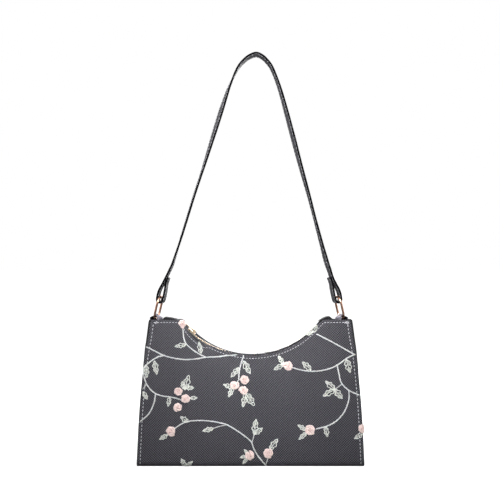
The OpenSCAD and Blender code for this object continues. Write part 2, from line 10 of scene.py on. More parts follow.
import bmesh
import bpy
import numpy as np
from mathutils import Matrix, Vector


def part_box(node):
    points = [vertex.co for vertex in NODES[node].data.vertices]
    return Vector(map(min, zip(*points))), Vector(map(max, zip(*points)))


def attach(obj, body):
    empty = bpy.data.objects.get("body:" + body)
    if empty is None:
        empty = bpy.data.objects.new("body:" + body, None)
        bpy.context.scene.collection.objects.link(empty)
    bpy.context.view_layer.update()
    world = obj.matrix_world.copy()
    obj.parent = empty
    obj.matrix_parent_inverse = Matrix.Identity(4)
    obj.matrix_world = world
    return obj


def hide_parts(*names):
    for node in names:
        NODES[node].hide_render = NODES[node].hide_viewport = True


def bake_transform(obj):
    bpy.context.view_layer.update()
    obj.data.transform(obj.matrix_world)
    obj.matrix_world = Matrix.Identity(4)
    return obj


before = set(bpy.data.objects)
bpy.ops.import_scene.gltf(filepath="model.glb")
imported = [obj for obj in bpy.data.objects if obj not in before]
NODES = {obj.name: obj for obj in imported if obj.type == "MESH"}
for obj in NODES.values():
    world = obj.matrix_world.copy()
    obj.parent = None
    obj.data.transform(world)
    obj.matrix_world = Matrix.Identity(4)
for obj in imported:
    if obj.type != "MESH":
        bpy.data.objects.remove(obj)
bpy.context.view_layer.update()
MM = 0.001
FACES = {-1: "front", 1: "back"}
ENDS = {-1: "left", 1: "right"}

# Body sizes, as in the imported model
BASE_W, BASE_D, SHOULDER_W, TOP_D, BODY_H = 250.0, 60.0, 225.0, 24.0, 160.0
SWELL, FOLD_R, SHELL_T = 3.0, 6.0, 1.6
MOUTH_R, MOUTH_LOW, MOUTH_SHIFT, FILLET, CORNER_R = 97.7, 121.8, 1.9, 8.0, 2.4
MOUTH_Z = MOUTH_LOW + MOUTH_R
FILLET_X = sqrt((MOUTH_R + FILLET) ** 2 - (MOUTH_Z - BODY_H + FILLET) ** 2)
FILLET_Z = BODY_H - FILLET
MEET_X = FILLET_X * MOUTH_R / (MOUTH_R + FILLET)
MEET_Z = MOUTH_Z - (MOUTH_Z - FILLET_Z) * MOUTH_R / (MOUTH_R + FILLET)
ARC_END = degrees(atan2(MEET_X, MOUTH_Z - MEET_Z))
TOOTH_HALF = 1.2
ZIP_R = MOUTH_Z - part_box("teeth_front")[0].z / MM - TOOTH_HALF

# How the soft body departs from it: side edges that bulge and draw in at the top, seams inside the rims
EDGE_BULGE, EDGE_DRAW = 2.1, 1.3
CORNER_X = SHOULDER_W / 2 - EDGE_DRAW
TOP_SEAM, SIDE_SEAM = 2.9, 3.9

# The photograph's camera: level, straight on, 1.3 m from the middle of the bag. PX is mm per pixel there
PX, PICTURE_HALF, CAMERA_AWAY = 1.12, 250, 1300.0
CAMERA = np.array([-0.5 * PX, -CAMERA_AWAY, 237.5])


# Meshes


def linked(name, data):
    obj = bpy.data.objects.new(name, data)
    bpy.context.scene.collection.objects.link(obj)
    return obj


def new_object(name, verts, faces, material, body, slot, smooth=True):
    mesh = bpy.data.meshes.new(name)
    mesh.from_pydata((np.asarray(verts, float) * MM).tolist(), [], [list(map(int, f)) for f in faces])
    mesh.validate()
    if smooth:
        mesh.shade_smooth()
    obj = linked(name, mesh)
    mesh.materials.append(material)
    if isinstance(body, str):
        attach(obj, body)
    else:
        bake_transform(obj)
    return obj


def painted(obj, look, mask):
    """Gives a band's end faces, and those between section points in a mask, a second look."""
    obj.data.materials.append(look)
    both = (mask & np.roll(mask, -1)).tolist()
    rings = (len(obj.data.polygons) - 2) // len(both)
    obj.data.polygons.foreach_set("material_index", np.array(both * rings + [1, 1], np.int32))


def welded(obj, node, merge=1e-7):
    """Welds coincident points, turns all faces outwards and shows the object in place of a CAD node."""
    bm = bmesh.new()
    bm.from_mesh(obj.data)
    bmesh.ops.remove_doubles(bm, verts=bm.verts, dist=merge)
    bmesh.ops.dissolve_degenerate(bm, edges=bm.edges, dist=1e-7)
    bmesh.ops.recalc_face_normals(bm, faces=bm.faces)
    bm.to_mesh(obj.data)
    bm.free()
    obj.data.shade_smooth()
    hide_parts(node)


def grid_faces(rows, cols, start=0, flip=False, wrap=False):
    i, j = np.meshgrid(np.arange(rows - 1), np.arange(cols if wrap else cols - 1), indexing="ij")
    k = (j + 1) % cols
    a, b = start + i * cols + j, start + i * cols + k
    quads = [a, b, b + cols, a + cols]
    return np.stack(quads[::-1] if flip else quads, -1).reshape(-1, 4).tolist()


def tube_faces(rows, cols):
    """A grid closed to a tube, with a face over each end."""
    first = list(range(cols))
    return grid_faces(rows, cols, wrap=True) + [first[::-1], [(rows - 1) * cols + k for k in first]]


def two_sided(outer, inner):
    rows, cols = outer.shape[:2]
    faces = grid_faces(rows, cols) + grid_faces(rows, cols, rows * cols, flip=True)
    return np.vstack([outer.reshape(-1, 3), inner.reshape(-1, 3)]), faces


def joined(meshes):
    verts, faces, start = [], [], 0
    for v, f in meshes:
        verts.append(v)
        faces += [[i + start for i in q] for q in f]
        start += len(v)
    return np.vstack(verts), faces


def unit(v):
    v = np.asarray(v, float)
    return v / np.maximum(np.linalg.norm(v, axis=-1, keepdims=True), 1e-9)


def xyz(*parts):
    """Points or vectors from their coordinates."""
    return np.stack(np.broadcast_arrays(*parts), -1)


def root(v):
    return np.sqrt(np.maximum(v, 0))


def bell(v, wide, power=2):
    """1 in the middle, falling off to both sides."""
    return np.exp(-((v / wide) ** power))


def step(v, low, high):
    """A soft rise from 0 at low to 1 at high."""
    t = np.clip((v - low) / (high - low), 0, 1)
    return t * t * (3 - 2 * t)


def tangents(p):
    return unit(np.gradient(p, axis=0))


def lengths(p):
    """How far along a line each of its points lies."""
    return np.concatenate([[0], np.cumsum(np.linalg.norm(np.diff(p, axis=0), axis=1))])


def along(line, at, s):
    """What a line holds at the lengths s. at gives the length of each of its points."""
    return xyz(*(np.interp(s, at, part) for part in line.T))


def curve(a, b, c, d, u):
    """The smooth line from b to c at the share u, led by the points before and after."""
    return 0.5 * (2 * b + (c - a) * u + (2 * a - 5 * b + 4 * c - d) * u**2 + (3 * b - a - 3 * c + d) * u**3)


def spline(points, pitch):
    """A smooth line through points, with even steps."""
    p = np.asarray(points, float)
    q = np.vstack([2 * p[0] - p[1], p, 2 * p[-1] - p[-2]])
    u = np.linspace(0, 1, 24, endpoint=False)[:, None]
    fine = np.vstack([*(curve(*four, u) for four in zip(q, q[1:], q[2:], q[3:])), p[-1:]])
    at = lengths(fine)
    count = max(2, int(round(at[-1] / pitch)) + 1)
    return along(fine, at, np.linspace(0, at[-1], count))


def knots_mesh(items, rings=6, sides=6):
    """Many short threads: each item is centre, direction, normal, half length, half width, half height."""
    c, d, n, hl, hw, hh = (np.array(v, float) for v in zip(*items))
    d, n = unit(d), unit(n)
    s = unit(np.cross(d, n))
    n = np.cross(s, d)
    theta = np.linspace(0, pi, rings + 2)[1:-1]
    phi = np.arange(sides) * 2 * pi / sides
    reach = np.sign(np.cos(theta)) * np.abs(np.cos(theta)) ** 0.62
    ring = np.sin(theta) ** 0.8
    body = [(a, cos(f) * r, sin(f) * r) for a, r in zip(reach, ring) for f in phi]
    x, y, z = np.array([(1, 0, 0), *body, (-1, 0, 0)])[:, :, None].transpose(1, 0, 2)
    size = [v[:, None, None] for v in (hl, hw, hh)]
    verts = c[:, None] + x * size[0] * d[:, None] + y * size[1] * s[:, None] + z * size[2] * n[:, None]
    count, last = len(x), len(x) - 1
    turn = [(k, (k + 1) % sides) for k in range(sides)]
    knot = [(0, 1 + m, 1 + k) for k, m in turn] + grid_faces(rings, sides, 1, wrap=True)
    knot += [(last - sides + k, last - sides + m, last) for k, m in turn]
    faces = [[v + i * count for v in face] for i in range(len(c)) for face in knot]
    return verts.reshape(-1, 3), faces


def sweep(points, normal, width, height, sides=8):
    """A thread with an oval section along points, drawn in at its ends."""
    p = np.asarray(points, float)
    s = unit(np.cross(tangents(p), unit(normal)))
    n = np.cross(s, tangents(p))
    u = np.linspace(-1, 1, len(p))
    taper = np.maximum(root(1 - u**6), 0.02)[:, None, None]
    f = (np.arange(sides) * 2 * pi / sides)[None, :, None]
    ring = p[:, None] + np.cos(f) * (width * taper) * s[:, None] + np.sin(f) * (height * taper) * n[:, None]
    return ring.reshape(-1, 3), tube_faces(len(p), sides)


def band_section(width, thick, edge, groove_at, groove):
    """Section of a leather band with rounded edges and a groove under each seam, across and through."""
    a, b = width / 2, thick / 2
    r = min(b, edge * thick)
    pts = [(a - r + r * cos(f), b - r + r * sin(f)) for f in np.radians(np.linspace(0, 90, 5))]
    steps = [0.88, 0.8, 0.72, 0.64, 0.56, 0.4, 0.2]
    for v in steps + [0.0] + [-v for v in reversed(steps)]:
        x = v * (a - r * 0.6)
        pts.append((x, b - groove * bell(abs(x) - groove_at, 0.45)))
    half = pts + [(-x, y) for x, y in reversed(pts[:5])]
    return np.array(half + [(-x, -y) for x, y in half])


def swept_band(points, across, section):
    """A band along points, and its normals. across is its width direction at each point."""
    w = unit(across)
    n = unit(np.cross(tangents(points), w))
    verts = points[:, None] + section[None, :, :1] * w[:, None] + section[None, :, 1:] * n[:, None]
    return verts.reshape(-1, 3), tube_faces(len(points), len(section)), n


# Materials


def put(socket, value):
    """Links a socket to another, or gives it a value."""
    if isinstance(value, bpy.types.NodeSocket):
        socket.id_data.links.new(value, socket)
    else:
        socket.default_value = value


def new_node(tree, kind, inputs=(), **settings):
    made = tree.nodes.new("ShaderNode" + kind)
    for key, value in settings.items():
        setattr(made, key, value)
    for key, value in dict(inputs).items():
        put(made.inputs[key], value)
    return made


class Look:
    """A procedural material."""

    def __init__(self, name, color, roughness, metallic=0.0, **fixed):
        self.material = bpy.data.materials.new(name)
        self.material.use_nodes = True
        self.tree = self.material.node_tree
        self.shader = self.tree.nodes["Principled BSDF"]
        fixed |= {"Base_Color": (*color, 1.0), "Roughness": roughness, "Metallic": metallic}
        for key, value in fixed.items():
            put(self.shader.inputs[key.replace("_", " ")], value)

    def node(self, kind, inputs=(), out=0, **settings):
        return new_node(self.tree, kind, inputs, **settings).outputs[out]

    def math(self, operation, a, b=0.0):
        return self.node("Math", {0: a, 1: b}, operation=operation)

    def place(self, scale=(1, 1, 1), turn=(0, 0, 0)):
        """The object's own coordinates, in mm."""
        start = self.node("TexCoord", out="Object")
        return self.node("Mapping", {"Vector": start, "Scale": [s / MM for s in scale], "Rotation": turn})

    def noise(self, where, scale, detail=3.0, rough=0.55):
        inputs = {"Vector": where, "Scale": scale, "Detail": detail, "Roughness": rough}
        return self.node("TexNoise", inputs)

    def ramp(self, value, low, high, out_low=0.0, out_high=1.0):
        inputs = {0: value, 1: low, 2: high, 3: out_low, 4: out_high}
        return self.node("MapRange", inputs, clamp=True)

    def tint(self, share, a, b):
        a, b = ((*c, 1.0) if isinstance(c, tuple) else c for c in (a, b))
        return self.node("Mix", {0: share, 6: a, 7: b}, out=2, data_type="RGBA")

    def patches(self, tone, mask, low, high, most, color):
        """Blends a colour in where a mask rises from low to high, up to the share most."""
        return self.tint(self.ramp(mask, low, high, 0.0, most), tone, color)

    def bump(self, height, distance, strength, under=None):
        inputs = {"Height": height, "Distance": distance * MM, "Strength": strength}
        return self.node("Bump", inputs | ({"Normal": under} if under else {}))

    def finish(self, color, roughness, normal):
        for key, value in (("Base Color", color), ("Roughness", roughness), ("Normal", normal)):
            if value:
                put(self.shader.inputs[key], value)
        return self.material


def shade(color, k):
    return tuple(min(1.0, c * k) for c in color)


def wrap_look():
    """Cloth with a fine raised diamond weave, whose slant drifts over the panel."""
    base, repeat = (0.028, 0.0275, 0.0325), 2.7
    look = Look("wrap_cloth", base, 0.6, Sheen_Weight=0.04, Sheen_Roughness=0.4, Specular_IOR_Level=0.15)
    where = look.node("Attribute", out="Vector", attribute_name="cloth")
    split = new_node(look.tree, "SeparateXYZ", {0: where}).outputs
    warp = look.math("MULTIPLY", look.noise(where, 0.3, 2.0), 0.9)
    u, v = look.math("ADD", split[0], warp), look.math("SUBTRACT", split[1], warp)
    rising, falling = (
        look.math("SINE", look.math("MULTIPLY", look.math(way, u, v), 2 * pi / repeat))
        for way in ("ADD", "SUBTRACT")
    )
    drift = look.ramp(look.noise(where, 0.021, 1.0), 0.42, 0.58, 0.44, 0.56)
    fallen = look.math("MULTIPLY", falling, look.math("SUBTRACT", 1.0, drift))
    rib = look.ramp(look.math("ADD", look.math("MULTIPLY", rising, drift), fallen), -0.4, 0.5)
    fine = look.noise(where, 2.6, 2.0)
    broad = look.noise(where, 0.022, 2.0)
    tone = look.tint(rib, shade(base, 0.02), shade(base, 2.8))
    tone = look.patches(tone, broad, 0.35, 0.7, 0.2, shade(base, 1.3))
    tone = look.patches(tone, fine, 0.4, 0.8, 0.2, shade(base, 0.6))
    normal = look.bump(fine, 0.05, 0.6, look.bump(rib, 0.25, 0.8))
    return look.finish(tone, look.ramp(rib, 0.0, 1.0, 0.72, 0.5), normal)


def leather_look(name, base, grain, rough, depth=0.09, wear=1.6, gloss=0.2):
    """Pebbled leather, paler where it creases."""
    look = Look(name, base, rough, Specular_IOR_Level=gloss)
    where = look.place()
    warp = look.noise(where, 0.35, 2.0)
    crease = look.noise(where, 0.16, 4.0, 0.65)
    fine = look.noise(where, 5.0, 2.0)
    pebble = look.ramp(look.node("TexVoronoi", {"Vector": where, "Scale": grain}), 0.0, 0.6)
    tone = look.tint(pebble, shade(base, 0.8), shade(base, 1.15))
    tone = look.patches(tone, crease, 0.5, 0.8, 0.5, shade(base, wear))
    normal = look.bump(pebble, depth, 0.7)
    normal = look.bump(look.math("ADD", look.math("MULTIPLY", fine, 0.4), warp), depth * 0.8, 0.5, normal)
    return look.finish(tone, look.ramp(crease, 0.3, 0.7, rough - 0.08, rough + 0.12), normal)


def woven_look(name, base, pitch, rough, sheen):
    """Close diagonal weave for tapes and linings."""
    look = Look(name, base, rough, Sheen_Weight=sheen, Specular_IOR_Level=0.12)
    wave = {"Vector": look.place(turn=(0.3, 0.6, 0.7)), "Scale": 0.32 / pitch, "Distortion": 0.4}
    weave = look.math("MAXIMUM", *(look.node("TexWave", wave, out=1, bands_direction=way) for way in "XZ"))
    tone = look.tint(weave, shade(base, 0.6), shade(base, 1.3))
    wear = look.noise(look.place(), 0.12, 3.0)
    tone = look.patches(tone, wear, 0.45, 0.8, 0.4, shade(base, 1.5))
    return look.finish(tone, look.ramp(weave, 0, 1, rough + 0.1, rough - 0.05), look.bump(weave, 0.12, 0.8))


def metal_look(name, base, rough, dark):
    """Plated metal with duller patches and lengthwise scratches."""
    look = Look(name, base, rough, 1.0)
    scratch = look.noise(look.place(scale=(1, 1, 0.15)), 2.2, 4.0)
    patch = look.noise(look.place(), 0.25, 3.0)
    tone = look.patches(base, patch, 0.35, 0.75, 0.6, shade(base, dark))
    shine = look.ramp(scratch, 0.3, 0.75, rough - 0.08, rough + 0.14)
    return look.finish(tone, shine, look.bump(scratch, 0.015, 0.5))


def thread_look(name, base, deep):
    """Satin thread: fine strands with lighter and deeper lengths."""
    look = Look(name, base, 0.55, Sheen_Weight=0.4, Sheen_Roughness=0.4, Specular_IOR_Level=0.45)
    strand = look.noise(look.place(), 2.4, 2.0, 0.6)
    broad = look.noise(look.place(), 0.5, 2.0)
    tone = look.tint(look.ramp(strand, 0.35, 0.68), deep, base)
    tone = look.patches(tone, broad, 0.4, 0.75, 0.4, shade(base, 1.08))
    return look.finish(tone, None, look.bump(strand, 0.1, 0.8))


def board_look():
    base = (0.2, 0.15, 0.1)
    look = Look("grey_board", base, 0.85)
    fibre = look.noise(look.place(scale=(0.4, 0.4, 1.6)), 1.4, 5.0, 0.7)
    fleck = look.node("TexVoronoi", {"Vector": look.place(), "Scale": 0.9})
    tone = look.tint(look.ramp(fibre, 0.3, 0.7), shade(base, 0.75), shade(base, 1.15))
    tone = look.tint(look.ramp(fleck, 0.0, 0.12, 0.6, 0.0), tone, shade(base, 0.4))
    return look.finish(tone, None, look.bump(fibre, 0.08, 0.7))


WRAP = wrap_look()
GUSSET = leather_look("gusset_leather_look", (0.007, 0.007, 0.008), 1.3, 0.5, wear=2.2)
FACING = leather_look("facing_leather_look", (0.009, 0.009, 0.011), 1.5, 0.55, wear=2.0)
TAB = leather_look("tab_leather_look", (0.16, 0.148, 0.18), 1.4, 0.42, wear=1.4)
# Nearly black look for the tab's inner face: painted shade inside the ring loop
TAB_INNER_SHADE = leather_look("tab_inner_shade_look", (0.003, 0.003, 0.004), 1.4, 0.6, gloss=0.08)
STRAP = leather_look("strap_leather_look", (0.036, 0.035, 0.04), 1.3, 0.5, depth=0.1, wear=1.9, gloss=0.3)
EDGE_PAINT = leather_look("edge_paint_look", (0.002, 0.002, 0.0025), 0.8, 0.8, 0.04, wear=2.0, gloss=0.03)
LINING = woven_look("lining_weave", (0.03, 0.026, 0.034), 0.45, 0.6, sheen=0.3)
TAPE = woven_look("tape_weave", (0.006, 0.006, 0.008), 0.55, 0.75, sheen=0.03)
TAPE_END = woven_look("tape_end_weave", (0.006, 0.006, 0.007), 0.7, 0.7, sheen=0.03)
ZIP_METAL = metal_look("zip_metal_look", (1.0, 0.84, 0.62), 0.2, 0.7)
RING_METAL = metal_look("ring_metal_look", (0.55, 0.31, 0.22), 0.16, 0.35)
BOARD = board_look()
STITCH, STRAP_STITCH, VINE, RIM, LEAF, PETAL, PETAL_GAP_SHADE, HEART = (
    thread_look(name + "_thread", base, deep)
    for name, base, deep in (
        ("stitch", (0.6, 0.6, 0.63), (0.4, 0.4, 0.43)),
        ("strap", (0.33, 0.33, 0.36), (0.2, 0.2, 0.22)),
        ("vine", (0.64, 0.65, 0.64), (0.36, 0.37, 0.37)),
        ("leaf_rim", (0.68, 0.7, 0.65), (0.42, 0.44, 0.4)),
        ("leaf", (0.56, 0.58, 0.53), (0.32, 0.34, 0.3)),
        ("petal", (0.72, 0.6, 0.57), (0.5, 0.36, 0.34)),
        # darker thread for the ground under the rosebuds: painted shade between the knots
        ("petal_gap_shade", (0.4, 0.24, 0.22), (0.28, 0.16, 0.15)),
        ("petal_heart", (0.7, 0.52, 0.49), (0.46, 0.3, 0.28)),
    )
)


# The wrap


def edge_x(z):
    """Half width at a height."""
    s = np.clip(np.asarray(z, float) / BODY_H, 0, 1)
    straight = BASE_W / 2 - (BASE_W - SHOULDER_W) / 2 * s
    return straight + EDGE_BULGE * np.sin(pi * s) ** 1.2 - EDGE_DRAW * step(s, 0.72, 0.92)


def face_y(z):
    """Half depth of the walls at a height."""
    s = z / BODY_H
    return BASE_D / 2 - (BASE_D - TOP_D) / 2 * s + 4 * SWELL * s * (1 - s)


FLAT_Y = face_y(FOLD_R) - FOLD_R


def top_z(x, side):
    """Height of the top edge. It dips between the shoulders, and in front it sags by the closed zip end."""
    a = np.abs(x - MOUTH_SHIFT)
    arc = MOUTH_Z - root(MOUTH_R**2 - a**2)
    fillet = FILLET_Z + root(FILLET**2 - (a - FILLET_X) ** 2)
    z = np.where(a < MEET_X, arc, np.where(a < FILLET_X, fillet, BODY_H))
    c = np.clip(np.abs(x) - (CORNER_X - CORNER_R), 0, CORNER_R)
    dip, sag = (1.0, 5.2) if side < 0 else (2.2, 0.0)
    z = z - (CORNER_R - root(CORNER_R**2 - c**2)) - dip * bell(x - MOUTH_SHIFT, 68.0, 6)
    return z - sag * bell(x + 60.5, 13.0, 4)


def top_slope(x, side):
    e = 0.2
    inner = np.clip(x, CORNER_R - CORNER_X, CORNER_X - CORNER_R)
    return (top_z(inner + e, side) - top_z(inner - e, side)) / (2 * e)


# Height, then middle and breadth in x and in z, of the filled panel's soft hills
HILLS = [(0.5, -2, 34, 82, 34), (0.45, -62, 18, 128, 18), (0.35, 70, 26, 120, 24)]


def swellings(x, z):
    """Soft unevenness of the filled panel, always outwards."""
    waves = 0.2 * np.sin(x / 31.0 + 0.6) * np.sin(z / 27.0 + 0.3) + 0.12 * np.sin(x / 17.0 - z / 23.0 + 1.2)
    hills = 0
    for high, x0, wide, z0, tall in HILLS:
        hills = hills + high * bell(x - x0, wide) * bell(z - z0, tall)
    return 0.42 + waves + hills


def relief(x, z, side):
    """How far the cloth stands proud of the plain wall: swellings, seam grooves and the folded lip."""
    top = np.maximum((top_z(x, side) - z) / np.sqrt(1 + top_slope(x, side) ** 2), 0)
    edge = np.maximum(edge_x(z) - np.abs(x), 0)
    near = np.minimum(top, edge)
    groove = 0.3 * bell(top - TOP_SEAM, 0.6) * (edge > SIDE_SEAM - 1)
    groove = np.maximum(groove, 0.3 * bell(edge - SIDE_SEAM, 0.6) * (top > TOP_SEAM - 1))
    swell = swellings(-side * x, z) * (1 - bell(near, 9.0)) * step(z, FOLD_R, FOLD_R + 12.0)
    return swell - groove + 0.12 * bell(near - 1.6, 0.9)


def outer_y(x, z, side):
    """Outer face of the front (-1) or back (1)."""
    fold = FLAT_Y + root(FOLD_R**2 - (FOLD_R - np.clip(z, 0, FOLD_R)) ** 2)
    return side * (np.where(z < FOLD_R, fold, face_y(z)) + relief(x, z, side))


# Distances of the close rows and columns from a rim, and the numbers of plain ones
RIM_STEPS = [0, 0.05, 0.18, 0.4, 0.62, 0.8, 1.2, 1.7, 2.2, 2.6, 2.9, 3.2, 3.6, 3.9, 4.2, 4.7, 5.4, 6.4, 8, 10]
MIDDLE_COLS, WALL_ROWS, FOLD_ROWS, BASE_ROWS = 150, 56, 9, 24


def build_wrap():
    """Front, base and back in one sheet with rounded rims, close-meshed along its rims and seams."""
    half = SHELL_T / 2
    rim = len(RIM_STEPS)
    cols = 2 * rim + MIDDLE_COLS
    spread = np.linspace(-1, 1, MIDDLE_COLS + 2)[1:-1]

    def columns(z):
        """x of every column at heights z, one per column."""
        e = edge_x(z)
        x = np.empty_like(e)
        for k, off in enumerate(RIM_STEPS):
            x[..., k] = off - e[..., k]
            x[..., -1 - k] = e[..., -1 - k] - off
        x[..., rim:-rim] = spread * (e[..., rim:-rim] - RIM_STEPS[-1])
        return x

    def hull(d):
        """Half thickness at distance d from the rounded rim."""
        return half * root(1 - (1 - np.clip(d / half, 0, 1)) ** 2)

    def wall(side):
        top = np.full(cols, 150.0)
        for _ in range(12):
            x = columns(top)
            top = top_z(x, side)
        k = np.sqrt(1 + np.clip(top_slope(x, side), -1.5, 1.5) ** 2)
        rows = [top - off * k for off in RIM_STEPS]
        rows += [rows[-1] + (FOLD_R - rows[-1]) * t for t in np.linspace(0, 1, WALL_ROWS)[1:]]
        z = np.array(rows)
        x = columns(z)
        h = hull(np.minimum((top - z) / k, edge_x(z) - np.abs(x)))
        out = face_y(z) - half + h + relief(x, z, side) * (h / half)
        return xyz(x, side * out, z), xyz(x, side * (face_y(z) - half - h), z), xyz(x, z, 0.0)

    def fold(side):
        rows = []
        for a in np.radians(np.linspace(90, 0, FOLD_ROWS)[1:]):
            z = np.full(cols, FOLD_R * (1 - cos(a)))
            x = columns(z)
            h = hull(edge_x(z) - np.abs(x))
            proud = relief(x, z, side) * sin(a) * (h / half)
            radii = (FOLD_R - (half - h - proud), FOLD_R - (half + h))
            bent = (xyz(x, side * (FLAT_Y + r * sin(a)), FOLD_R - r * cos(a)) for r in radii)
            rows.append((*bent, xyz(x, FOLD_R - FOLD_R * (pi / 2 - a), 0.0)))
        return [np.array(v) for v in zip(*rows)]

    def base():
        rows = []
        for y in np.linspace(-FLAT_Y, FLAT_Y, BASE_ROWS)[1:-1]:
            x = columns(np.zeros(cols))
            h = hull(edge_x(0) - np.abs(x))
            rows.append((xyz(x, y, half - h), xyz(x, y, half + h), xyz(x, -3.5 - (y + FLAT_Y), 0.0)))
        return [np.array(v) for v in zip(*rows)]

    back = [[v[::-1] for v in part] for part in (fold(1), wall(1))]
    outer, inner, cloth = (np.vstack(v) for v in zip(wall(-1), fold(-1), base(), *back))
    obj = new_object("wrap", *two_sided(outer, inner), WRAP, "bag", "wrap_fabric")
    # Where a point lies on its cloth, in mm, for the weave
    attribute = obj.data.attributes.new("cloth", "FLOAT_VECTOR", "POINT")
    attribute.data.foreach_set("vector", np.vstack([cloth, cloth]).astype(np.float32).ravel())
    welded(obj, "shell", 1e-6)


def on_wall(x, z, side=-1, height=0.0):
    """Points on the outer face and the normals there."""
    x, z = np.asarray(x, float), np.asarray(z, float)
    e = 0.3
    dx = (outer_y(x + e, z, side) - outer_y(x - e, z, side)) / (2 * e)
    dz = (outer_y(x, z + e, side) - outer_y(x, z - e, side)) / (2 * e)
    n = unit(side * xyz(-dx, 1.0, -dz))
    return xyz(x, outer_y(x, z, side), z) + n * height, n


def pixel_to_front(points):
    """Where the photograph's pixels fall on the front, as x and z."""
    across, down = (np.asarray(points, float).T - PICTURE_HALF) * PX
    ray = xyz(across, CAMERA_AWAY, -down)
    y = np.full(len(across), -20.0)
    for _ in range(6):
        at = CAMERA + ray * ((CAMERA_AWAY + y) / CAMERA_AWAY)[:, None]
        x, z = at[:, 0], np.clip(at[:, 2], 0.3, BODY_H)
        y = outer_y(x, z, -1)
    limit = edge_x(z) - 0.3
    return xyz(np.clip(x, -limit, limit), z)


def seam_items(line, side, pitch, length, width=0.3, height=0.26):
    """Stitches along a line of x and z on a wall."""
    at = lengths(line)
    s = np.arange(pitch * 0.5, at[-1], pitch)
    p, n = on_wall(*along(line, at, s).T, side, 0.1)
    after, before = (on_wall(*along(line, at, s + e).T, side)[0] for e in (0.4, -0.4))
    return [(a, b, c, length / 2, width, height) for a, b, c in zip(p, after - before, n)]


def build_seams():
    items = []
    for side in (-1, 1):
        x = np.linspace(SIDE_SEAM - CORNER_X, CORNER_X - SIDE_SEAM, 900)
        m = top_slope(x, side)
        k = np.sqrt(1 + m**2)
        line = xyz(x + TOP_SEAM * m / k, top_z(x, side) - TOP_SEAM / k)
        items += seam_items(line, side, 3.3, 2.1, 0.27, 0.24)
        for way in (-1, 1):
            z = np.linspace(BODY_H - TOP_SEAM - 1.5, 2.5, 300)
            items += seam_items(xyz(way * (edge_x(z) - SIDE_SEAM), z), side, 4.05, 2.5)
    # A bar tack at each front corner, where the thread is doubled: by turns left and right
    rng = np.random.default_rng(4)
    for k in range(16):
        x = -SHOULDER_W / 2 + SIDE_SEAM + 1.4 + 3.8 * rng.random()
        z = BODY_H - TOP_SEAM + 1.4 - 3.0 * rng.random()
        p, n = on_wall([1.6 - x if k % 2 else x], [z], -1, 0.25)
        items.append((p[0], (1, 0, 0.7 - rng.random() * 1.6), n[0], 1.1, 0.24, 0.22))
    new_object("stitching", *knots_mesh(items), STITCH, "bag", "wrap_fabric")


# Embroidery: where its threads run on the front, as pixel coordinates in the photograph

VINES_PX = [
    [(146.5, 346.9), (155.6, 351.4), (163.9, 355.5), (174.7, 358.3), (186.3, 359.6), (197.9, 358.6),
     (206.2, 357.3), (217.8, 356.7), (227.8, 355.5), (236.9, 354.9)],
    [(183, 329.8), (183.8, 338.1), (186.3, 343.9), (193, 350), (200.4, 354.7), (206.2, 357.3)],
    [(163.9, 355.5), (157.3, 357.2), (149.8, 362.1), (144.5, 367.6), (143.7, 374.6), (145.7, 382),
     (149.8, 388.7), (155.6, 393.6), (163.1, 396.1), (169.7, 396.9), (177.2, 398.6), (181.4, 400.3)],
    [(155.6, 393.6), (154, 402.8), (149, 413.5), (139.9, 421.8)],
    [(174.7, 428.5), (181.4, 424), (188, 421.5), (197.9, 420.5), (209.5, 421), (219.5, 422.7),
     (226.9, 424.8), (236.1, 430.1), (244.4, 435.9), (251, 441.7), (254, 449.2), (258.5, 456.6),
     (266.7, 466)],
    [(243.5, 356.3), (240.7, 364.6), (239.1, 372.9), (238.7, 379.5)],
    [(292.4, 367.6), (300.7, 369.9), (310.7, 371.2), (320.6, 370.7), (330.6, 368.3), (338.9, 364.1),
     (347.2, 358), (354.6, 354.7)],
    [(354.6, 354.7), (335.6, 343.9), (316.5, 333.9)],
    [(337.2, 365.4), (338.9, 373.7), (341.4, 382.9), (348.8, 390.3), (359.6, 395.3)],
    [(348.8, 390.3), (348.8, 399.4), (344.7, 411), (337.2, 420.2), (327.3, 426), (315.7, 429)],
]
STEMS_PX = [
    [(145.7, 385.3), (142.4, 389.5)], [(226.9, 424.8), (220, 426.2), (212.9, 428.5)],
    [(252.2, 441.7), (254.3, 434.3)], [(268.1, 457.5), (265.9, 464.1)],
    [(341.4, 384.5), (334.7, 389.5)], [(238.9, 379.5), (236.5, 383)],
]
LEAVES_PX = [  # base and tip
    (185.5, 344.7, 175.5, 346.4), (201, 353, 198.8, 342), (154.5, 361.3, 156.8, 374.2),
    (143.2, 392, 147.4, 399.4), (145.6, 365.2, 146.9, 377.4), (169.7, 397.4, 168.1, 406.1),
    (184.7, 389.5, 188.8, 375.4), (185.5, 387.8, 193.8, 387.8), (183.5, 388.5, 182.2, 381.5),
    (190.5, 398.1, 197.1, 397.8), (167.3, 435, 159.8, 439.2), (188, 421.8, 180.5, 416.8),
    (212.9, 428.5, 202.9, 430.9), (254.3, 434.3, 256, 419), (254.8, 434, 262.3, 428),
    (185.5, 466, 181.5, 459), (186.5, 466, 192.1, 461.6), (247.5, 453.5, 244.4, 449.7),
    (246, 456, 240.2, 457.5), (247, 458.5, 243, 463.4), (270.1, 449.4, 277.5, 439.2),
    (238.6, 367.9, 231.1, 377), (243.5, 361.3, 250.2, 373.7), (232.8, 387.8, 223.6, 384.5),
    (232.8, 387.8, 228.6, 396.9), (246, 393.6, 242.7, 406.9), (246, 393.6, 254.3, 405.6),
    (312.3, 332.3, 317.3, 325.6), (312, 332.5, 306, 334.6), (283.3, 363.8, 278.4, 356),
    (283.3, 364.6, 274.2, 369.6), (310.7, 369.6, 302.4, 362.1), (346.3, 359.6, 350.1, 372.4),
    (334.7, 389.5, 325.6, 381.2), (334.7, 389.5, 323.1, 396.1), (334.7, 389.5, 342.2, 398.6),
    (305.7, 430.1, 298.2, 425.1), (306.5, 432.6, 299.1, 439.2), (325.6, 426.8, 327.3, 436.7),
    (362.1, 434.3, 354.6, 438.4),
]
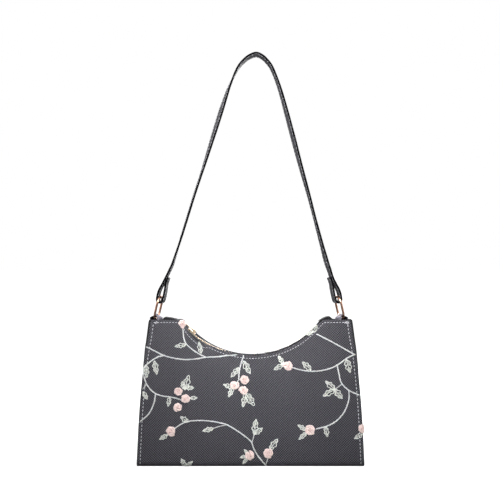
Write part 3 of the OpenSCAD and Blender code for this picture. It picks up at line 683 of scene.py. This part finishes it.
ROSES_PX = [  # with the size of each
    (182.3, 324.2, 1.0), (178.4, 391.5, 0.98), (185.5, 399.1, 1.0), (177.5, 407.1, 1.0), (244.4, 380, 1.0),
    (234.6, 385.2, 1.0), (243, 390, 1.0), (287.8, 365.9, 1.05), (170.7, 431.4, 1.1), (310.2, 430.1, 1.18),
    (249.8, 455.5, 1.08), (268.1, 453.3, 1.12), (362.9, 428.6, 1.0),
]
LOOSE = np.random.default_rng(11)


def surface_items(line, slant, pitch, length, width, height, lift):
    """Slanted, slightly uneven stitches along a line of x and z on the front."""
    at = lengths(line)
    s = np.arange(0, at[-1] + 0.01, pitch)
    xz, (tx, tz) = along(line, at, s), along(tangents(line), at, s).T
    slant = slant + LOOSE.normal(0, 0.13, len(s))
    length = length * (1 + LOOSE.normal(0, 0.12, len(s)))
    c, sn = np.cos(slant), np.sin(slant)
    reach = 0.4 * xyz(tx * c - tz * sn, tx * sn + tz * c)
    p, n = on_wall(*xz.T, -1, lift)
    d = on_wall(*(xz + reach).T)[0] - on_wall(*(xz - reach).T)[0]
    return [(a, b, m, k / 2, width, height) for a, b, m, k in zip(p, d, n, length)]


def vine_items():
    items = []
    for path, wide in [(v, 1.0) for v in VINES_PX] + [(v, 0.75) for v in STEMS_PX]:
        line = spline(pixel_to_front(path), 0.5)
        items += surface_items(line, 0.52, 1.2, 2.5 * wide, 0.38 * wide, 0.42 * wide, 0.22)
    return items


def leaf_items(*px):
    """Outline and midrib of one leaf, and its slanted fill with some stitches left out."""
    a, b = pixel_to_front([px[:2], px[2:]])
    size = np.linalg.norm(b - a)
    axis = (b - a) / size
    cross = np.array([-axis[1], axis[0]])
    half = (0.14 + 0.05 * LOOSE.random()) * size + 0.4
    rim, fill = [], []

    def at(t, w):
        return a + axis * size * t + cross * w

    t = np.linspace(0.0, 1.0, 22)
    shape = half * np.sin(pi * t**0.82) ** 0.8 * (1 + 0.22 * np.sin(t * 17 + size * 5))
    for way in (-1, 1):
        line = [at(u, way * w) for u, w in zip(t, shape)]
        rim += surface_items(spline(line, 0.4), way * 0.3, 1.0, 1.9, 0.3, 0.3, 0.2)
    rim += surface_items(np.array([a, at(0.8, 0)]), 0.1, 1.1, 1.8, 0.24, 0.26, 0.26)
    for u in np.arange(0.12, 0.9, 1.25 / size):
        w = float(np.interp(min(1, u + 0.1), t, shape)) * 0.86
        for way in (-1, 1):
            p0, p1 = at(u - 0.06, 0), at(u + 0.08, way * w)
            mid, d = (p0 + p1) / 2, p1 - p0
            length = np.linalg.norm(d)
            if length < 0.5 or LOOSE.random() < 0.38:
                continue
            p, n = on_wall(*mid, -1, 0.12)
            fill.append((p, on_wall(*(mid + d * 0.2))[0] - on_wall(*mid)[0], n, length / 2 + 0.15, 0.3, 0.24))
    return rim, fill


def round_edge(points):
    """Bends what reaches past a side edge of the front round that edge."""
    x = np.abs(points[:, 0])
    limit = edge_x(np.clip(points[:, 2], 0, BODY_H)) + 0.4
    over = np.maximum(0, x - limit)
    out = points.copy()
    out[:, 0] = np.sign(points[:, 0]) * np.where(over > 0, limit + 1.1 * (1 - np.exp(-over / 1.1)), x)
    out[:, 1] += np.maximum(0, over - 0.6)
    return out


def rose_meshes(px, pz, scale):
    """A raised rosebud of curved bullion knots: the outer knots, the heart, and under them a ground of darker
    threads that paints shade into the gaps between the knots.
    """
    ((x, z),) = pixel_to_front([(px, pz)])
    p, n = on_wall(x, min(z, float(top_z(x, -1)) - 0.2))
    side = unit(np.cross(n, [0, 0, 1]))
    up = np.cross(side, n)
    outer, heart, gap_shade = [], [], []
    rng = np.random.default_rng(int(px * 10))
    for radius, count, span, thick, rise, group in (
        (3.8, 6, 1.35, 0.95, 0.55, outer),
        (2.35, 5, 1.45, 0.82, 1.05, outer),
        (1.05, 3, 2.0, 0.62, 1.45, heart),
    ):
        start = rng.random() * 6.28
        for k in range(count):
            f = start + (k + 0.3 * rng.random()) * 2 * pi / count + np.linspace(-span / 2, span / 2, 9)
            r = scale * (radius + np.linspace(0.5, -0.5, 9) + rng.normal(0, 0.28))
            arc = p + np.outer(np.cos(f) * r, side) + np.outer(np.sin(f) * r, up) + n * rise
            group.append(sweep(arc, n, thick * scale, thick * 0.8))
    heart.append(sweep(p + np.outer(np.linspace(-0.5, 0.5, 5), side) + n * 1.75, n, 0.6, 0.5))
    # The ground threads take the darker look: painted shade in the gaps between the knots
    for across in np.arange(-3, 4) * 1.1:
        reach = sqrt(3.8**2 - across**2)
        arc = p + scale * (np.outer(np.linspace(-reach, reach, 7), up) + side * across) + n * 0.2
        gap_shade.append(sweep(arc, n, 0.62, 0.4))
    return [joined([(round_edge(v), f) for v, f in group]) for group in (outer, heart, gap_shade)]


def build_embroidery():
    """Vines, leaves and rosebuds on the front, and the same turned round on the back."""
    vines = vine_items()
    rims, fills = (sum(items, []) for items in zip(*(leaf_items(*leaf) for leaf in LEAVES_PX)))
    parts = []
    threads = (("vines", vines, VINE), ("leaf_outlines", rims, RIM), ("leaf_fill", fills, LEAF))
    for name, items, look in threads:
        mesh = knots_mesh(items)
        parts.append((name, look, mesh, mesh))
    groups = zip(*(rose_meshes(*rose) for rose in ROSES_PX))
    for (name, look), group in zip((("petals", PETAL), ("hearts", HEART), ("petal_gap_shade", PETAL_GAP_SHADE)), groups):
        # The back lacks the first rosebud, which stands on the front's edge
        parts.append((name, look, joined(group), joined(group[1:])))
    for name, look, front, (verts, faces) in parts:
        new_object("front_" + name, *front, look, "bag", "wrap_fabric")
        new_object("back_" + name, verts * [-1, -1, 1], faces, look, "bag", "wrap_fabric")


# Gussets, facings, boards, lining, tapes and tape ends

GUSSET_T, FLANGE, PLEAT, PUFF = 1.0, 8.0, 2.5, 2.09
GAP, SOFT = 0.2, 0.3
RINGS = {-1: (104.0, 13.0), 1: (100.5, 17.0)}  # distance from the middle, and turn in degrees
RING_Z, BEND_R, WIRE_R, RING_STRAIGHT, RING_LEAN = 169.0, 8.5, 1.3, 8.3, 13.5
TAB_W, TAB_T, LOOP_R, LOOP_SLOT, TAB_LEG = 9.0, 1.5, 2.9, 3.4, 15.0
LOOP_OUT, LOOP_DROP, TAB_TWIST, WIRE_UNDER = 1.6, BEND_R * 0.853, 26.0, 6.8
TAB_R = LOOP_R + TAB_T
LEG_Z = RING_Z - LOOP_DROP - TAB_R - TAB_LEG - SOFT


def tab_inner(side):
    x, turn = RINGS[side]
    turn = radians(turn)
    return x + (LOOP_OUT - TAB_T) * cos(turn) - TAB_W / 2 * sin(turn) - SOFT


def fold_x(side, z):
    """How far out the gusset's inner fold lies."""
    low = BASE_W / 2 - PLEAT
    return low + (tab_inner(side) - GUSSET_T / 2 - low) * np.minimum(1, z / LEG_Z) ** 1.15


def flange_y(z):
    d = SHELL_T + GAP + GUSSET_T / 2
    low = FLAT_Y + root((FOLD_R - d) ** 2 - (FOLD_R - z) ** 2)
    return np.where(z < FOLD_R, low, face_y(z) - d)


def soft_sheet(node, points, normals, half, look, slot):
    """A soft sheet in place of a node, from a grid of middle points and the half thickness at each.

    One half thickness for all of them is thinned out at the rims.
    """
    rows, cols = points.shape[:2]
    n = rows * cols
    if np.isscalar(half):
        half = half * np.pad(np.ones((rows - 2, cols - 2)), 1, constant_values=0.15)
    push = normals * half[..., None]
    verts, faces = two_sided(points + push, points - push)
    for j in range(cols - 1):
        k = (rows - 1) * cols + j
        faces += [[j, n + j, n + j + 1, j + 1], [k, k + 1, n + k + 1, n + k]]
    for a in range(0, n - cols, cols):
        b, c, d = a + cols, a + cols - 1, a + 2 * cols - 1
        faces += [[a, b, n + b, n + a], [c, n + c, n + d, d]]
    welded(new_object(node + "_soft", verts, faces, look, "bag", slot), node)


def build_gusset(side):
    """A side wall, seen from above as one line: flange, puffed edge, fold and the same again."""
    z = np.concatenate([[3.0, 3.6, 4.4, 5.2], np.linspace(FOLD_R, BODY_H - GAP, 52)])
    levels = []
    for h in z:
        x, y, f = edge_x(h), float(flange_y(h)), float(fold_x(side, h))
        puff = PUFF * min(1.0, max(0.0, (h / BODY_H - 0.6) / 0.3))
        half = [
            (x - FLANGE, -y), (x - GUSSET_T * 2, -y), (x - GUSSET_T * 0.7 + puff * 0.6, -y + GUSSET_T * 1.2),
            (x - GUSSET_T * 0.6 + puff, -y * 0.72), ((f + x) / 2, -y * 0.65), (f, -y * 0.62), (f, -y * 0.3),
        ]
        pts = np.array([half[0], *half, *((a, -b) for a, b in reversed(half)), (half[0][0], y)])
        fine = [curve(*pts[k : k + 4], u) for k in range(len(pts) - 3) for u in (0, 0.2, 0.4, 0.6, 0.8)]
        levels.append([*fine, pts[-1]])
    line = np.array(levels)
    z = np.repeat(z[:, None], line.shape[1], 1)
    # The top edge dips under the tab loop
    low = 3.6 * bell(line[-1, :, 1], 5.6, 6) * (np.abs(line[-1, :, 0] - fold_x(side, BODY_H)) < 2.5)
    z = z - np.clip((z - 140) / 20, 0, 1) * low
    crease = 0.22 * np.sin(z / 5.2 + line[..., 1] / 6.0) * np.sin(z / 11.0) * np.clip((z - 8) / 30, 0, 1)
    free = np.clip((flange_y(z) - np.abs(line[..., 1])) / 3.0, 0, 1) * np.clip((142 - z) / 12, 0, 1)
    t = unit(np.gradient(line, axis=1))
    normals = xyz(side * t[..., 1], -t[..., 0], 0.0)
    points = xyz(side * line[..., 0], line[..., 1], z) + normals * (crease * free)[..., None]
    half = np.full(z.shape, GUSSET_T / 2)
    half[-2:] = [[0.45], [0.12]]
    soft_sheet("gusset_" + ENDS[side], points, normals, half, GUSSET, "gusset_leather")


def build_facing(side):
    """The facing inside the top edge, behind the zip tape."""
    x = np.linspace(-97.5, 97.5, 150)
    top = np.minimum(top_z(x, side) - 0.3, BODY_H - 0.6)
    under_zip = MOUTH_Z - root((ZIP_R + 0.7) ** 2 - np.clip(np.abs(x), 0, MEET_X) ** 2)
    top = np.where(np.abs(x) < MEET_X, np.minimum(top, under_zip), top)
    t = np.linspace(0, 1, 14)[:, None]
    z = top + (top_z(x, 1) - 16.0 - top) * t
    y = face_y(z) - 3.4 - 0.12 * np.sin(x / 9.0) * t
    normals = np.array([0.0, side, 0.0])
    soft_sheet("facing_" + FACES[side], xyz(x, side * y, z), normals, 0.38, FACING, "gusset_leather")


def build_board(side):
    """The wall's stiffening board, cut to stay under the sagging top edge."""
    under, inside = 5.0, 108
    node = "stiffener_" + FACES[side]
    mesh = NODES[node].data
    verts = np.array([v.co for v in mesh.vertices]) / MM
    verts[:, 2] = np.minimum(verts[:, 2], top_z(np.clip(verts[:, 0], -inside, inside), side) - under)
    faces = [list(f.vertices) for f in mesh.polygons]
    obj = new_object(node + "_cut", verts, faces, BOARD, "bag", "board", smooth=False)
    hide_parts(node)


LINING_IN, LINING_LOW, LINING_TOP, LINING_T = 3.3, 3.35, 16.2, 0.55


@functools.cache
def lining_loop(z):
    """One closed loop of the tub at height z, as x and y: four runs, each with the corner after it."""
    inset = GUSSET_T + SOFT + 0.9
    low = BASE_W / 2 - PLEAT + GUSSET_T / 2 - inset
    left, right = (low + (tab_inner(side) - inset - low) * min(1.0, z / LEG_Z) for side in (-1, 1))
    y = float(face_y(max(z, FOLD_R))) - LINING_IN
    if z < FOLD_R:
        y = FLAT_Y + sqrt(max(0.0, (FOLD_R - LINING_IN) ** 2 - (FOLD_R - max(z, 3.4)) ** 2))
    c = min(3.0, y * 0.4)
    x0, x1, y0, y1 = c - left, right - c, c - y, y - c
    corners = np.array([(x1, y0), (x1, y1), (x0, y1), (x0, y0)])
    pts = []
    for k, (count, x_out, y_out) in enumerate(((90, 0, -1), (12, 1, 0), (90, 0, 1), (12, -1, 0))):
        run = (corners[k] - corners[k - 1]) * np.arange(count)[:, None] / count
        pts.append(corners[k - 1] + run + (c * x_out, c * y_out))
        f = pi / 2 * (k - 1 + np.arange(5) / 5)
        pts.append(corners[k] + c * xyz(np.cos(f), np.sin(f)))
    return np.vstack(pts)


def build_lining():
    """The lining tub: a softly rounded box, open at the top."""
    rim = np.minimum(top_z(lining_loop(80.0)[:, 0], 1), BODY_H) - LINING_TOP
    loops = []
    for s in np.linspace(0, 1, 44):
        heights = LINING_LOW + (rim - LINING_LOW) * s
        loop = np.array([(*lining_loop(round(float(h), 1))[k], h) for k, h in enumerate(heights)])
        ripple = 0.18 * np.sin(loop[:, 0] / 7.0 + loop[:, 2] / 11.0)
        loop[:, 1] -= np.sign(loop[:, 1]) * (0.2 + ripple) * min(1.0, s * 6)
        loops.append(loop)
    centre = loops[0].mean(0)
    grid = np.array([centre + (loops[0] - centre) * f for f in (0.02, 0.35, 0.7, 0.92)] + loops)
    faces = grid_faces(*grid.shape[:2], wrap=True)
    obj = new_object("lining_cloth_tub", grid.reshape(-1, 3), faces, LINING, "bag", "lining_cloth")
    welded(obj, "lining")
    solid = obj.modifiers.new("thickness", "SOLIDIFY")
    solid.thickness = LINING_T * MM
    solid.offset = 0
    thick = bpy.data.meshes.new_from_object(obj.evaluated_get(bpy.context.evaluated_depsgraph_get()))
    thin = obj.data
    obj.modifiers.clear()
    obj.data = thick
    bpy.data.meshes.remove(thin)
    thick.shade_smooth()


def build_tape(side):
    """Zip tape: from the teeth out to the wall and down inside it. In front it humps by the closed end."""
    inner, bend, clear, hump = 3.4, 1.6, SHELL_T + GAP + 0.35, 2.2
    angles = np.radians(np.linspace(-ARC_END, ARC_END, 150))
    pts = np.empty((20, len(angles), 3))
    for j, a in enumerate(angles):
        wall = float(face_y(MOUTH_Z - ZIP_R * cos(a))) - clear
        path = [(inner + (wall - bend - inner) * k / 9, 0.0) for k in range(10)]
        for f in np.radians([18, 36, 54, 72, 90]):
            path.append((wall - bend + bend * sin(f), bend - bend * cos(f)))
        path += [(wall, bend + 6.2 * k / 5) for k in range(1, 6)]
        for i, (y, down) in enumerate(path):
            z = MOUTH_Z - (ZIP_R + down) * cos(a)
            if side < 0 and i < 10:
                z += hump * sin(pi * i / 9.5) ** 2 * float(step(degrees(a), -26, -14))
            if i >= 12:
                y = min(float(face_y(z)) - clear, y + 10)
            pts[i, j] = (sin(a) * (ZIP_R + down), side * y, z)
        pts[:10, j, 2] += 0.1 * sin(j * 0.55)
    normals = unit(np.cross(np.gradient(pts, axis=0), np.gradient(pts, axis=1)))
    soft_sheet("zip_tape_" + FACES[side], pts, normals, 0.28, TAPE, "zip_tape")


# Outlines of the folded tape ends: shares of the fillet's width past the mouth, and of its height over
# the shoulder
ZIP_ENDS = {
    -1: [(0.75, -0.05), (1.5, 0.14), (3.6, 0.42), (3.6, -0.4), (1.5, -0.45), (0.9, -0.7)],
    1: [(0.55, 0), (1.2, 0.3), (2.1, 0.48), (2.7, 0.06), (2.7, -0.4), (1.5, -0.45), (0.9, -0.7)],
}


def build_zip_end(side):
    """A folded black tape end, rounded like a turned-in strip."""
    wide, half = FILLET_X - MEET_X, float(face_y(BODY_H)) - 3.8 - SOFT
    pts = [(0.06, MEET_Z + FILLET * 0.1)] + [(a, BODY_H + FILLET * b) for a, b in ZIP_ENDS[side]]
    pts = np.array([(side * (MEET_X + wide * a), z) for a, z in pts])
    fine = np.array([b + (c - b) * u for b, c in zip(pts, np.roll(pts, -1, 0)) for u in (0, 0.25, 0.5, 0.75)])
    for _ in range(2):
        fine = (np.roll(fine, 1, 0) + 2 * fine + np.roll(fine, -1, 0)) / 4
    centre = pts.mean(0)
    rows = [(half, 0.55), (half - 0.15, 0.84), (half - 0.6, 0.96), (half - 1.4, 1.0), (half / 2, 0.97)]
    grid = []
    for y, k in [(-y, k) for y, k in rows] + [(0, 0.95)] + rows[::-1]:
        loop = centre + (fine - centre) * [1 - (1 - k) * 0.25, k]
        grid.append(xyz(loop[:, 0], y, loop[:, 1]))
    node = "zip_end_" + ENDS[side]
    faces = tube_faces(len(grid), len(fine))
    welded(new_object(node + "_soft", np.vstack(grid), faces, TAPE_END, "bag", "gusset_leather"), node)


# Tabs and strap


def ring_frame(side):
    """Centre and directions of a ring's place: outwards, towards the back."""
    x, turn = RINGS[side]
    c, s = cos(radians(turn)), sin(radians(turn))
    return np.array([side * x, 0.0, RING_Z]), np.array([side * c, s, 0.0]), np.array([-side * s, c, 0.0])


def settled(points, side):
    """The soft loop as it hangs: twisted towards the ring's pull, with its top sunk onto the wire."""
    centre, out, _ = ring_frame(side)
    x0, y0, _ = centre + out * LOOP_OUT
    p = np.array(points, float)
    up = p[:, 2] - (RING_Z - LOOP_DROP)
    twist = radians(TAB_TWIST) * step(up + TAB_R, 0, TAB_R * 0.75) * side
    dx, dy = p[:, 0] - x0, p[:, 1] - y0
    p[:, 0] = x0 + dx * np.cos(twist) - dy * np.sin(twist)
    p[:, 1] = y0 + dx * np.sin(twist) + dy * np.cos(twist)
    wire = RING_Z - root(WIRE_UNDER**2 - np.clip(np.abs(p[:, 1]), 0, 6.0) ** 2)
    drop = np.maximum(RING_Z - LOOP_DROP + LOOP_R - wire, 0)
    p[:, 2] -= drop * np.clip(up / LOOP_R, 0, 1) ** 1.5
    return p


def build_tab(side):
    """One strip of leather, up the gusset, round the ring and down again on itself."""
    centre, out, back = ring_frame(side)
    h = TAB_T / 2
    r = LOOP_R + h
    seam = TAB_W / 2 - 1.4
    leg = [(h + 0.02, -TAB_R - TAB_LEG + 14.9 * k / 16) for k in range(17)]
    leg = [(x, z) for x, z in leg if z < -r - 1.6]
    loop = []
    for way, start in ((1, -90), (-1, 90)):
        for f in np.radians(np.linspace(start, start + 180, 15)):
            loop.append((way * LOOP_SLOT / 2 + r * cos(f), r * sin(f)))
    line = spline(leg + loop + [(-x, z) for x, z in reversed(leg)], 0.55)
    pos = centre + np.outer(line[:, 0] + LOOP_OUT, out) + np.outer(line[:, 1] - LOOP_DROP, [0, 0, 1])
    section = band_section(TAB_W, TAB_T, 0.42, seam, 0.14)
    verts, faces, nrm = swept_band(pos, np.tile(back, (len(pos), 1)), section)
    # The bag at its foot, the ring and two points between them, given as the body; new_object only fixes such
    # a piece where it stands and attaches it to nothing
    node, foot = "tab_" + ENDS[side], side * RINGS[side][0] * MM
    bends = ("bag", ENDS[side] + "_ring", (foot, 0, 0.1505), (foot, 0, 0.1595))
    obj = new_object(node + "_soft", settled(verts, side), faces, TAB, bends, "tab_leather")
    outwards = 1 if nrm[len(pos) // 2][2] > 0 else -1
    nrm = nrm * outwards
    # The inner face gets the nearly black look: painted shade inside the loop
    painted(obj, TAB_INNER_SHADE, section[:, 1] * outwards < h * 0.4)
    welded(obj, node)
    items = []
    t = tangents(pos)
    for k in range(3, len(pos) - 3, 6):
        for way in (-1, 1):
            p = pos[k] + back * way * seam + nrm[k] * (h - 0.02)
            a, b, c = settled([p, p + t[k] * 0.3, p + nrm[k] * 0.3], side)
            items.append((a, b - a, c - a, 1.05, 0.24, 0.2))
    new_object(node + "_stitches", *knots_mesh(items), STRAP_STITCH, bends, "tab_leather")


STRAP_W, STRAP_T, STRAP_TOP, STRAP_SHIFT, EYE_H, EYE_RUN = 11.0, 2.2, 457.5, 6.4, 24.5, 7.3
# Shares of the way from crown to eye across and up, of the eye's length and width, and the turn at heights
LEG_SHARES = [(0.9, 0.125), (0.868, 0.156), (0.76, 0.288), (0.656, 0.419), (0.546, 0.55), (0.44, 0.682),
              (0.333, 0.813), (0.273, 0.878), (0.193, 0.944), (0.12, 0.977), (0.06, 0.993)]
EYE_SHARES = [(0.11, 1.1), (0.29, 1.15), (0.5, 0.88), (0.72, 0.3), (1, 0)]
TURN_LEFT = (
    [0, 0.12, 0.25, 0.5, 0.7, 0.77, 0.84, 0.91, 1],
    [1, 0.6, -0.5, -0.7, -1.85, -1.9, -1.3, -0.1, 1.4],
)
TURN_RIGHT = (
    [0, 0.12, 0.16, 0.22, 0.35, 0.5, 0.65, 0.75, 0.9, 1],
    [1, 1.4, 1.65, 1, 0.55, 1.1, 1.6, 1.5, 0.9, 1.4],
)
TURN_UNIT = 13.0
WIRE_TOP = RING_STRAIGHT + BEND_R
EDGE_SAG = BEND_R - sqrt(BEND_R**2 - (STRAP_W / 2) ** 2)
EYE_R = WIRE_R * 1.4 + SOFT + STRAP_T / 2
EYE_TOP_HALF = (STRAP_T + 0.35) / 2 * 1.06
EYE_Z = RING_Z + WIRE_TOP * cos(radians(RING_LEAN)) - EDGE_SAG * 1.65
CROWN_Z = STRAP_TOP - STRAP_T / 2
RISE = CROWN_Z - EYE_Z


def leg_knots(side):
    """From the flap end, down and round the ring, and up the leg to the crown."""
    x, turn = RINGS[side]
    eye_x = x - WIRE_TOP * sin(radians(RING_LEAN)) * cos(radians(turn))

    def eye(way):
        out = []
        for v, k in EYE_SHARES:
            half = EYE_TOP_HALF + (EYE_R - EYE_TOP_HALF) * k
            out.append((side * (eye_x - EYE_RUN * v**1.5) + side * way * half, EYE_Z + EYE_H * v))
        return out

    bottom = []
    for f in np.radians([180, 135, 90, 45, 0]):
        bottom.append((side * (eye_x + EDGE_SAG * 0.12 + EYE_R * cos(f)), EYE_Z - EYE_R * sin(f)))
    leg = [(STRAP_SHIFT + (side * eye_x - STRAP_SHIFT) * a, EYE_Z + RISE * b) for a, b in LEG_SHARES]
    return eye(-1)[::-1] + bottom + eye(1) + leg


def strap_frames():
    """The strap's middle line, and its width direction as it twists."""
    line = spline(leg_knots(-1) + [(STRAP_SHIFT, CROWN_Z)] + leg_knots(1)[::-1], 1.5)
    left = line[:, 0] < STRAP_SHIFT
    v = np.clip((line[:, 1] - EYE_Z) / RISE, 0, 1)
    own = np.where(left, RINGS[-1][1], RINGS[1][1]) / TURN_UNIT
    turn = np.where(left, np.interp(v, *TURN_LEFT), np.interp(v, *TURN_RIGHT)) * TURN_UNIT
    turn = turn * (1 + (own - 1) * np.clip(1 - v / 0.12, 0, 1))
    turn = np.radians(np.convolve(np.pad(turn, 4, mode="edge"), np.ones(9) / 9, "valid"))
    a = np.radians(np.where(v < 0.8, 20 * v, 16 + 74 * ((v - 0.8) / 0.2) ** 2))
    across = xyz(np.where(left, -1, 1) * np.cos(a) * np.sin(turn), -np.cos(turn), np.sin(a) * np.sin(turn))
    return xyz(line[:, 0], 0.0, line[:, 1]), unit(across)


def build_strap():
    pos, across = strap_frames()
    seam = STRAP_W / 2 - 1.75
    section = band_section(STRAP_W, STRAP_T, 0.4, seam, 0.16)
    verts, faces, nrm = swept_band(pos, across, section)
    obj = new_object("strap_band", verts, faces, STRAP, "shoulder_strap", "strap_leather")
    painted(obj, EDGE_PAINT, np.abs(section[:, 0]) > STRAP_W / 2 - 0.62)
    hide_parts("strap")
    at, t = lengths(pos), tangents(pos)
    items = []
    for s in np.arange(3.0, at[-1] - 2, 4.1):
        k = int(np.searchsorted(at, s))
        for way in (-1, 1):
            for face in (-1, 1):
                p = pos[k] + across[k] * way * seam + nrm[k] * face * (STRAP_T / 2 - 0.02)
                items.append((p, t[k], nrm[k] * face, 1.65, 0.21, 0.16))
    new_object("strap_stitches", *knots_mesh(items), STRAP_STITCH, "shoulder_strap", "strap_leather")


# Building it all

build_wrap()
build_seams()
build_embroidery()
for way in (-1, 1):
    build_gusset(way)
    build_facing(way)
    build_tape(way)
    build_tab(way)
build_lining()
for way in (-1, 1):
    build_zip_end(way)
build_strap()
for way in (-1, 1):
    build_board(way)

for look, names in {
    BOARD: ("base_board",),
    ZIP_METAL: ("teeth_front", "teeth_back", "zip_stop_left", "zip_stop_right", "slider", "puller"),
    RING_METAL: ("ring_left", "ring_right", "rivet_left", "rivet_right"),
}.items():
    for name in names:
        NODES[name].data.materials.clear()
        NODES[name].data.materials.append(look)

# Floor, world, lights and camera


def build_floor():
    """Pale floor: diffuse, with a painted glow for the camera so that it reads white; the glow is weaker near
    the bag, painting shade round it.
    """
    look = Look("floor_paper", (0.32, 0.32, 0.32), 0.9)
    seen = look.node("LightPath", out="Is Camera Ray")
    where = look.node("TexCoord", out="Object")
    away = look.node("VectorMath", {0: where}, out="Value", operation="LENGTH")
    # Camera-only glow, 0.82 near the bag rising to 1 from 0.7 m out: painted shade round the bag
    lift = look.math("MULTIPLY", seen, look.ramp(away, 0.25, 0.7, 0.82, 1.0))
    glow = look.node("Emission", {"Strength": lift})
    both = look.node("AddShader", {0: look.shader.outputs[0], 1: glow})
    put(look.tree.nodes["Material Output"].inputs["Surface"], both)
    mesh = bpy.data.meshes.new("floor")
    mesh.from_pydata([(-12, -12, 0), (12, -12, 0), (12, 12, 0), (-12, 12, 0)], [], [(0, 1, 2, 3)])
    mesh.materials.append(look.material)
    linked("floor", mesh)


def build_world():
    """White to the camera and in reflections, and dim as a light."""
    world = bpy.data.worlds.new("studio")
    bpy.context.scene.world = world
    world.use_nodes = True
    tree = world.node_tree
    tree.nodes.clear()
    room, white = (
        new_node(tree, "Background", {"Color": (1, 1, 1, 1), "Strength": strength}).outputs[0]
        for strength in (0.15, 1.0)
    )
    path = new_node(tree, "LightPath").outputs
    rays = {0: path["Is Camera Ray"], 1: path["Is Glossy Ray"]}
    seen = new_node(tree, "Math", rays, operation="MAXIMUM").outputs[0]
    mix = new_node(tree, "MixShader", {0: seen, 1: room, 2: white}).outputs[0]
    new_node(tree, "OutputWorld", {"Surface": mix})


def lamp(name, place, target, size, power, spread=180.0):
    """A soft rectangle of light, turned to a target. Its spread is in degrees."""
    data = bpy.data.lights.new(name, "AREA")
    data.shape = "RECTANGLE"
    data.size, data.size_y = size
    data.energy = power
    data.spread = radians(spread)
    obj = linked(name, data)
    obj.location = place
    obj.rotation_mode = "QUATERNION"
    obj.rotation_quaternion = (Vector(place) - Vector(target)).to_track_quat("Z", "Y")


build_floor()
build_world()
lamp("key_softbox", (-0.01, -0.3, 0.47), (0, -0.02, 0.14), (0.4, 0.2), 4.2)
lamp("grid_softbox", (-0.02, -0.62, 0.6), (0.01, -0.02, 0.13), (0.1, 0.1), 0.125, 24.0)
lamp("right_fill", (0.9, -0.7, 0.5), (0, 0, 0.2), (0.6, 0.8), 0.9)
lamp("left_fill", (-1.0, -0.3, 0.45), (0, 0, 0.2), (0.6, 0.8), 1.1)
lamp("back_fill", (0.2, 0.8, 0.35), (0, 0, 0.1), (0.6, 0.5), 4.0)
lamp("back_softbox", (0.1, 0.9, 0.9), (0, 0, 0.15), (1.0, 0.6), 7.0)

camera = bpy.data.cameras.new("camera")
camera.sensor_width = 36.0
camera.lens = camera.sensor_width / 2 / (PICTURE_HALF * PX / CAMERA_AWAY)
camera.clip_start, camera.clip_end = 0.05, 60
eye = linked("camera", camera)
eye.location = CAMERA * MM
eye.rotation_euler = (pi / 2, 0, 0)
bpy.context.scene.camera = eye
bpy.context.scene.view_settings.view_transform = "Standard"
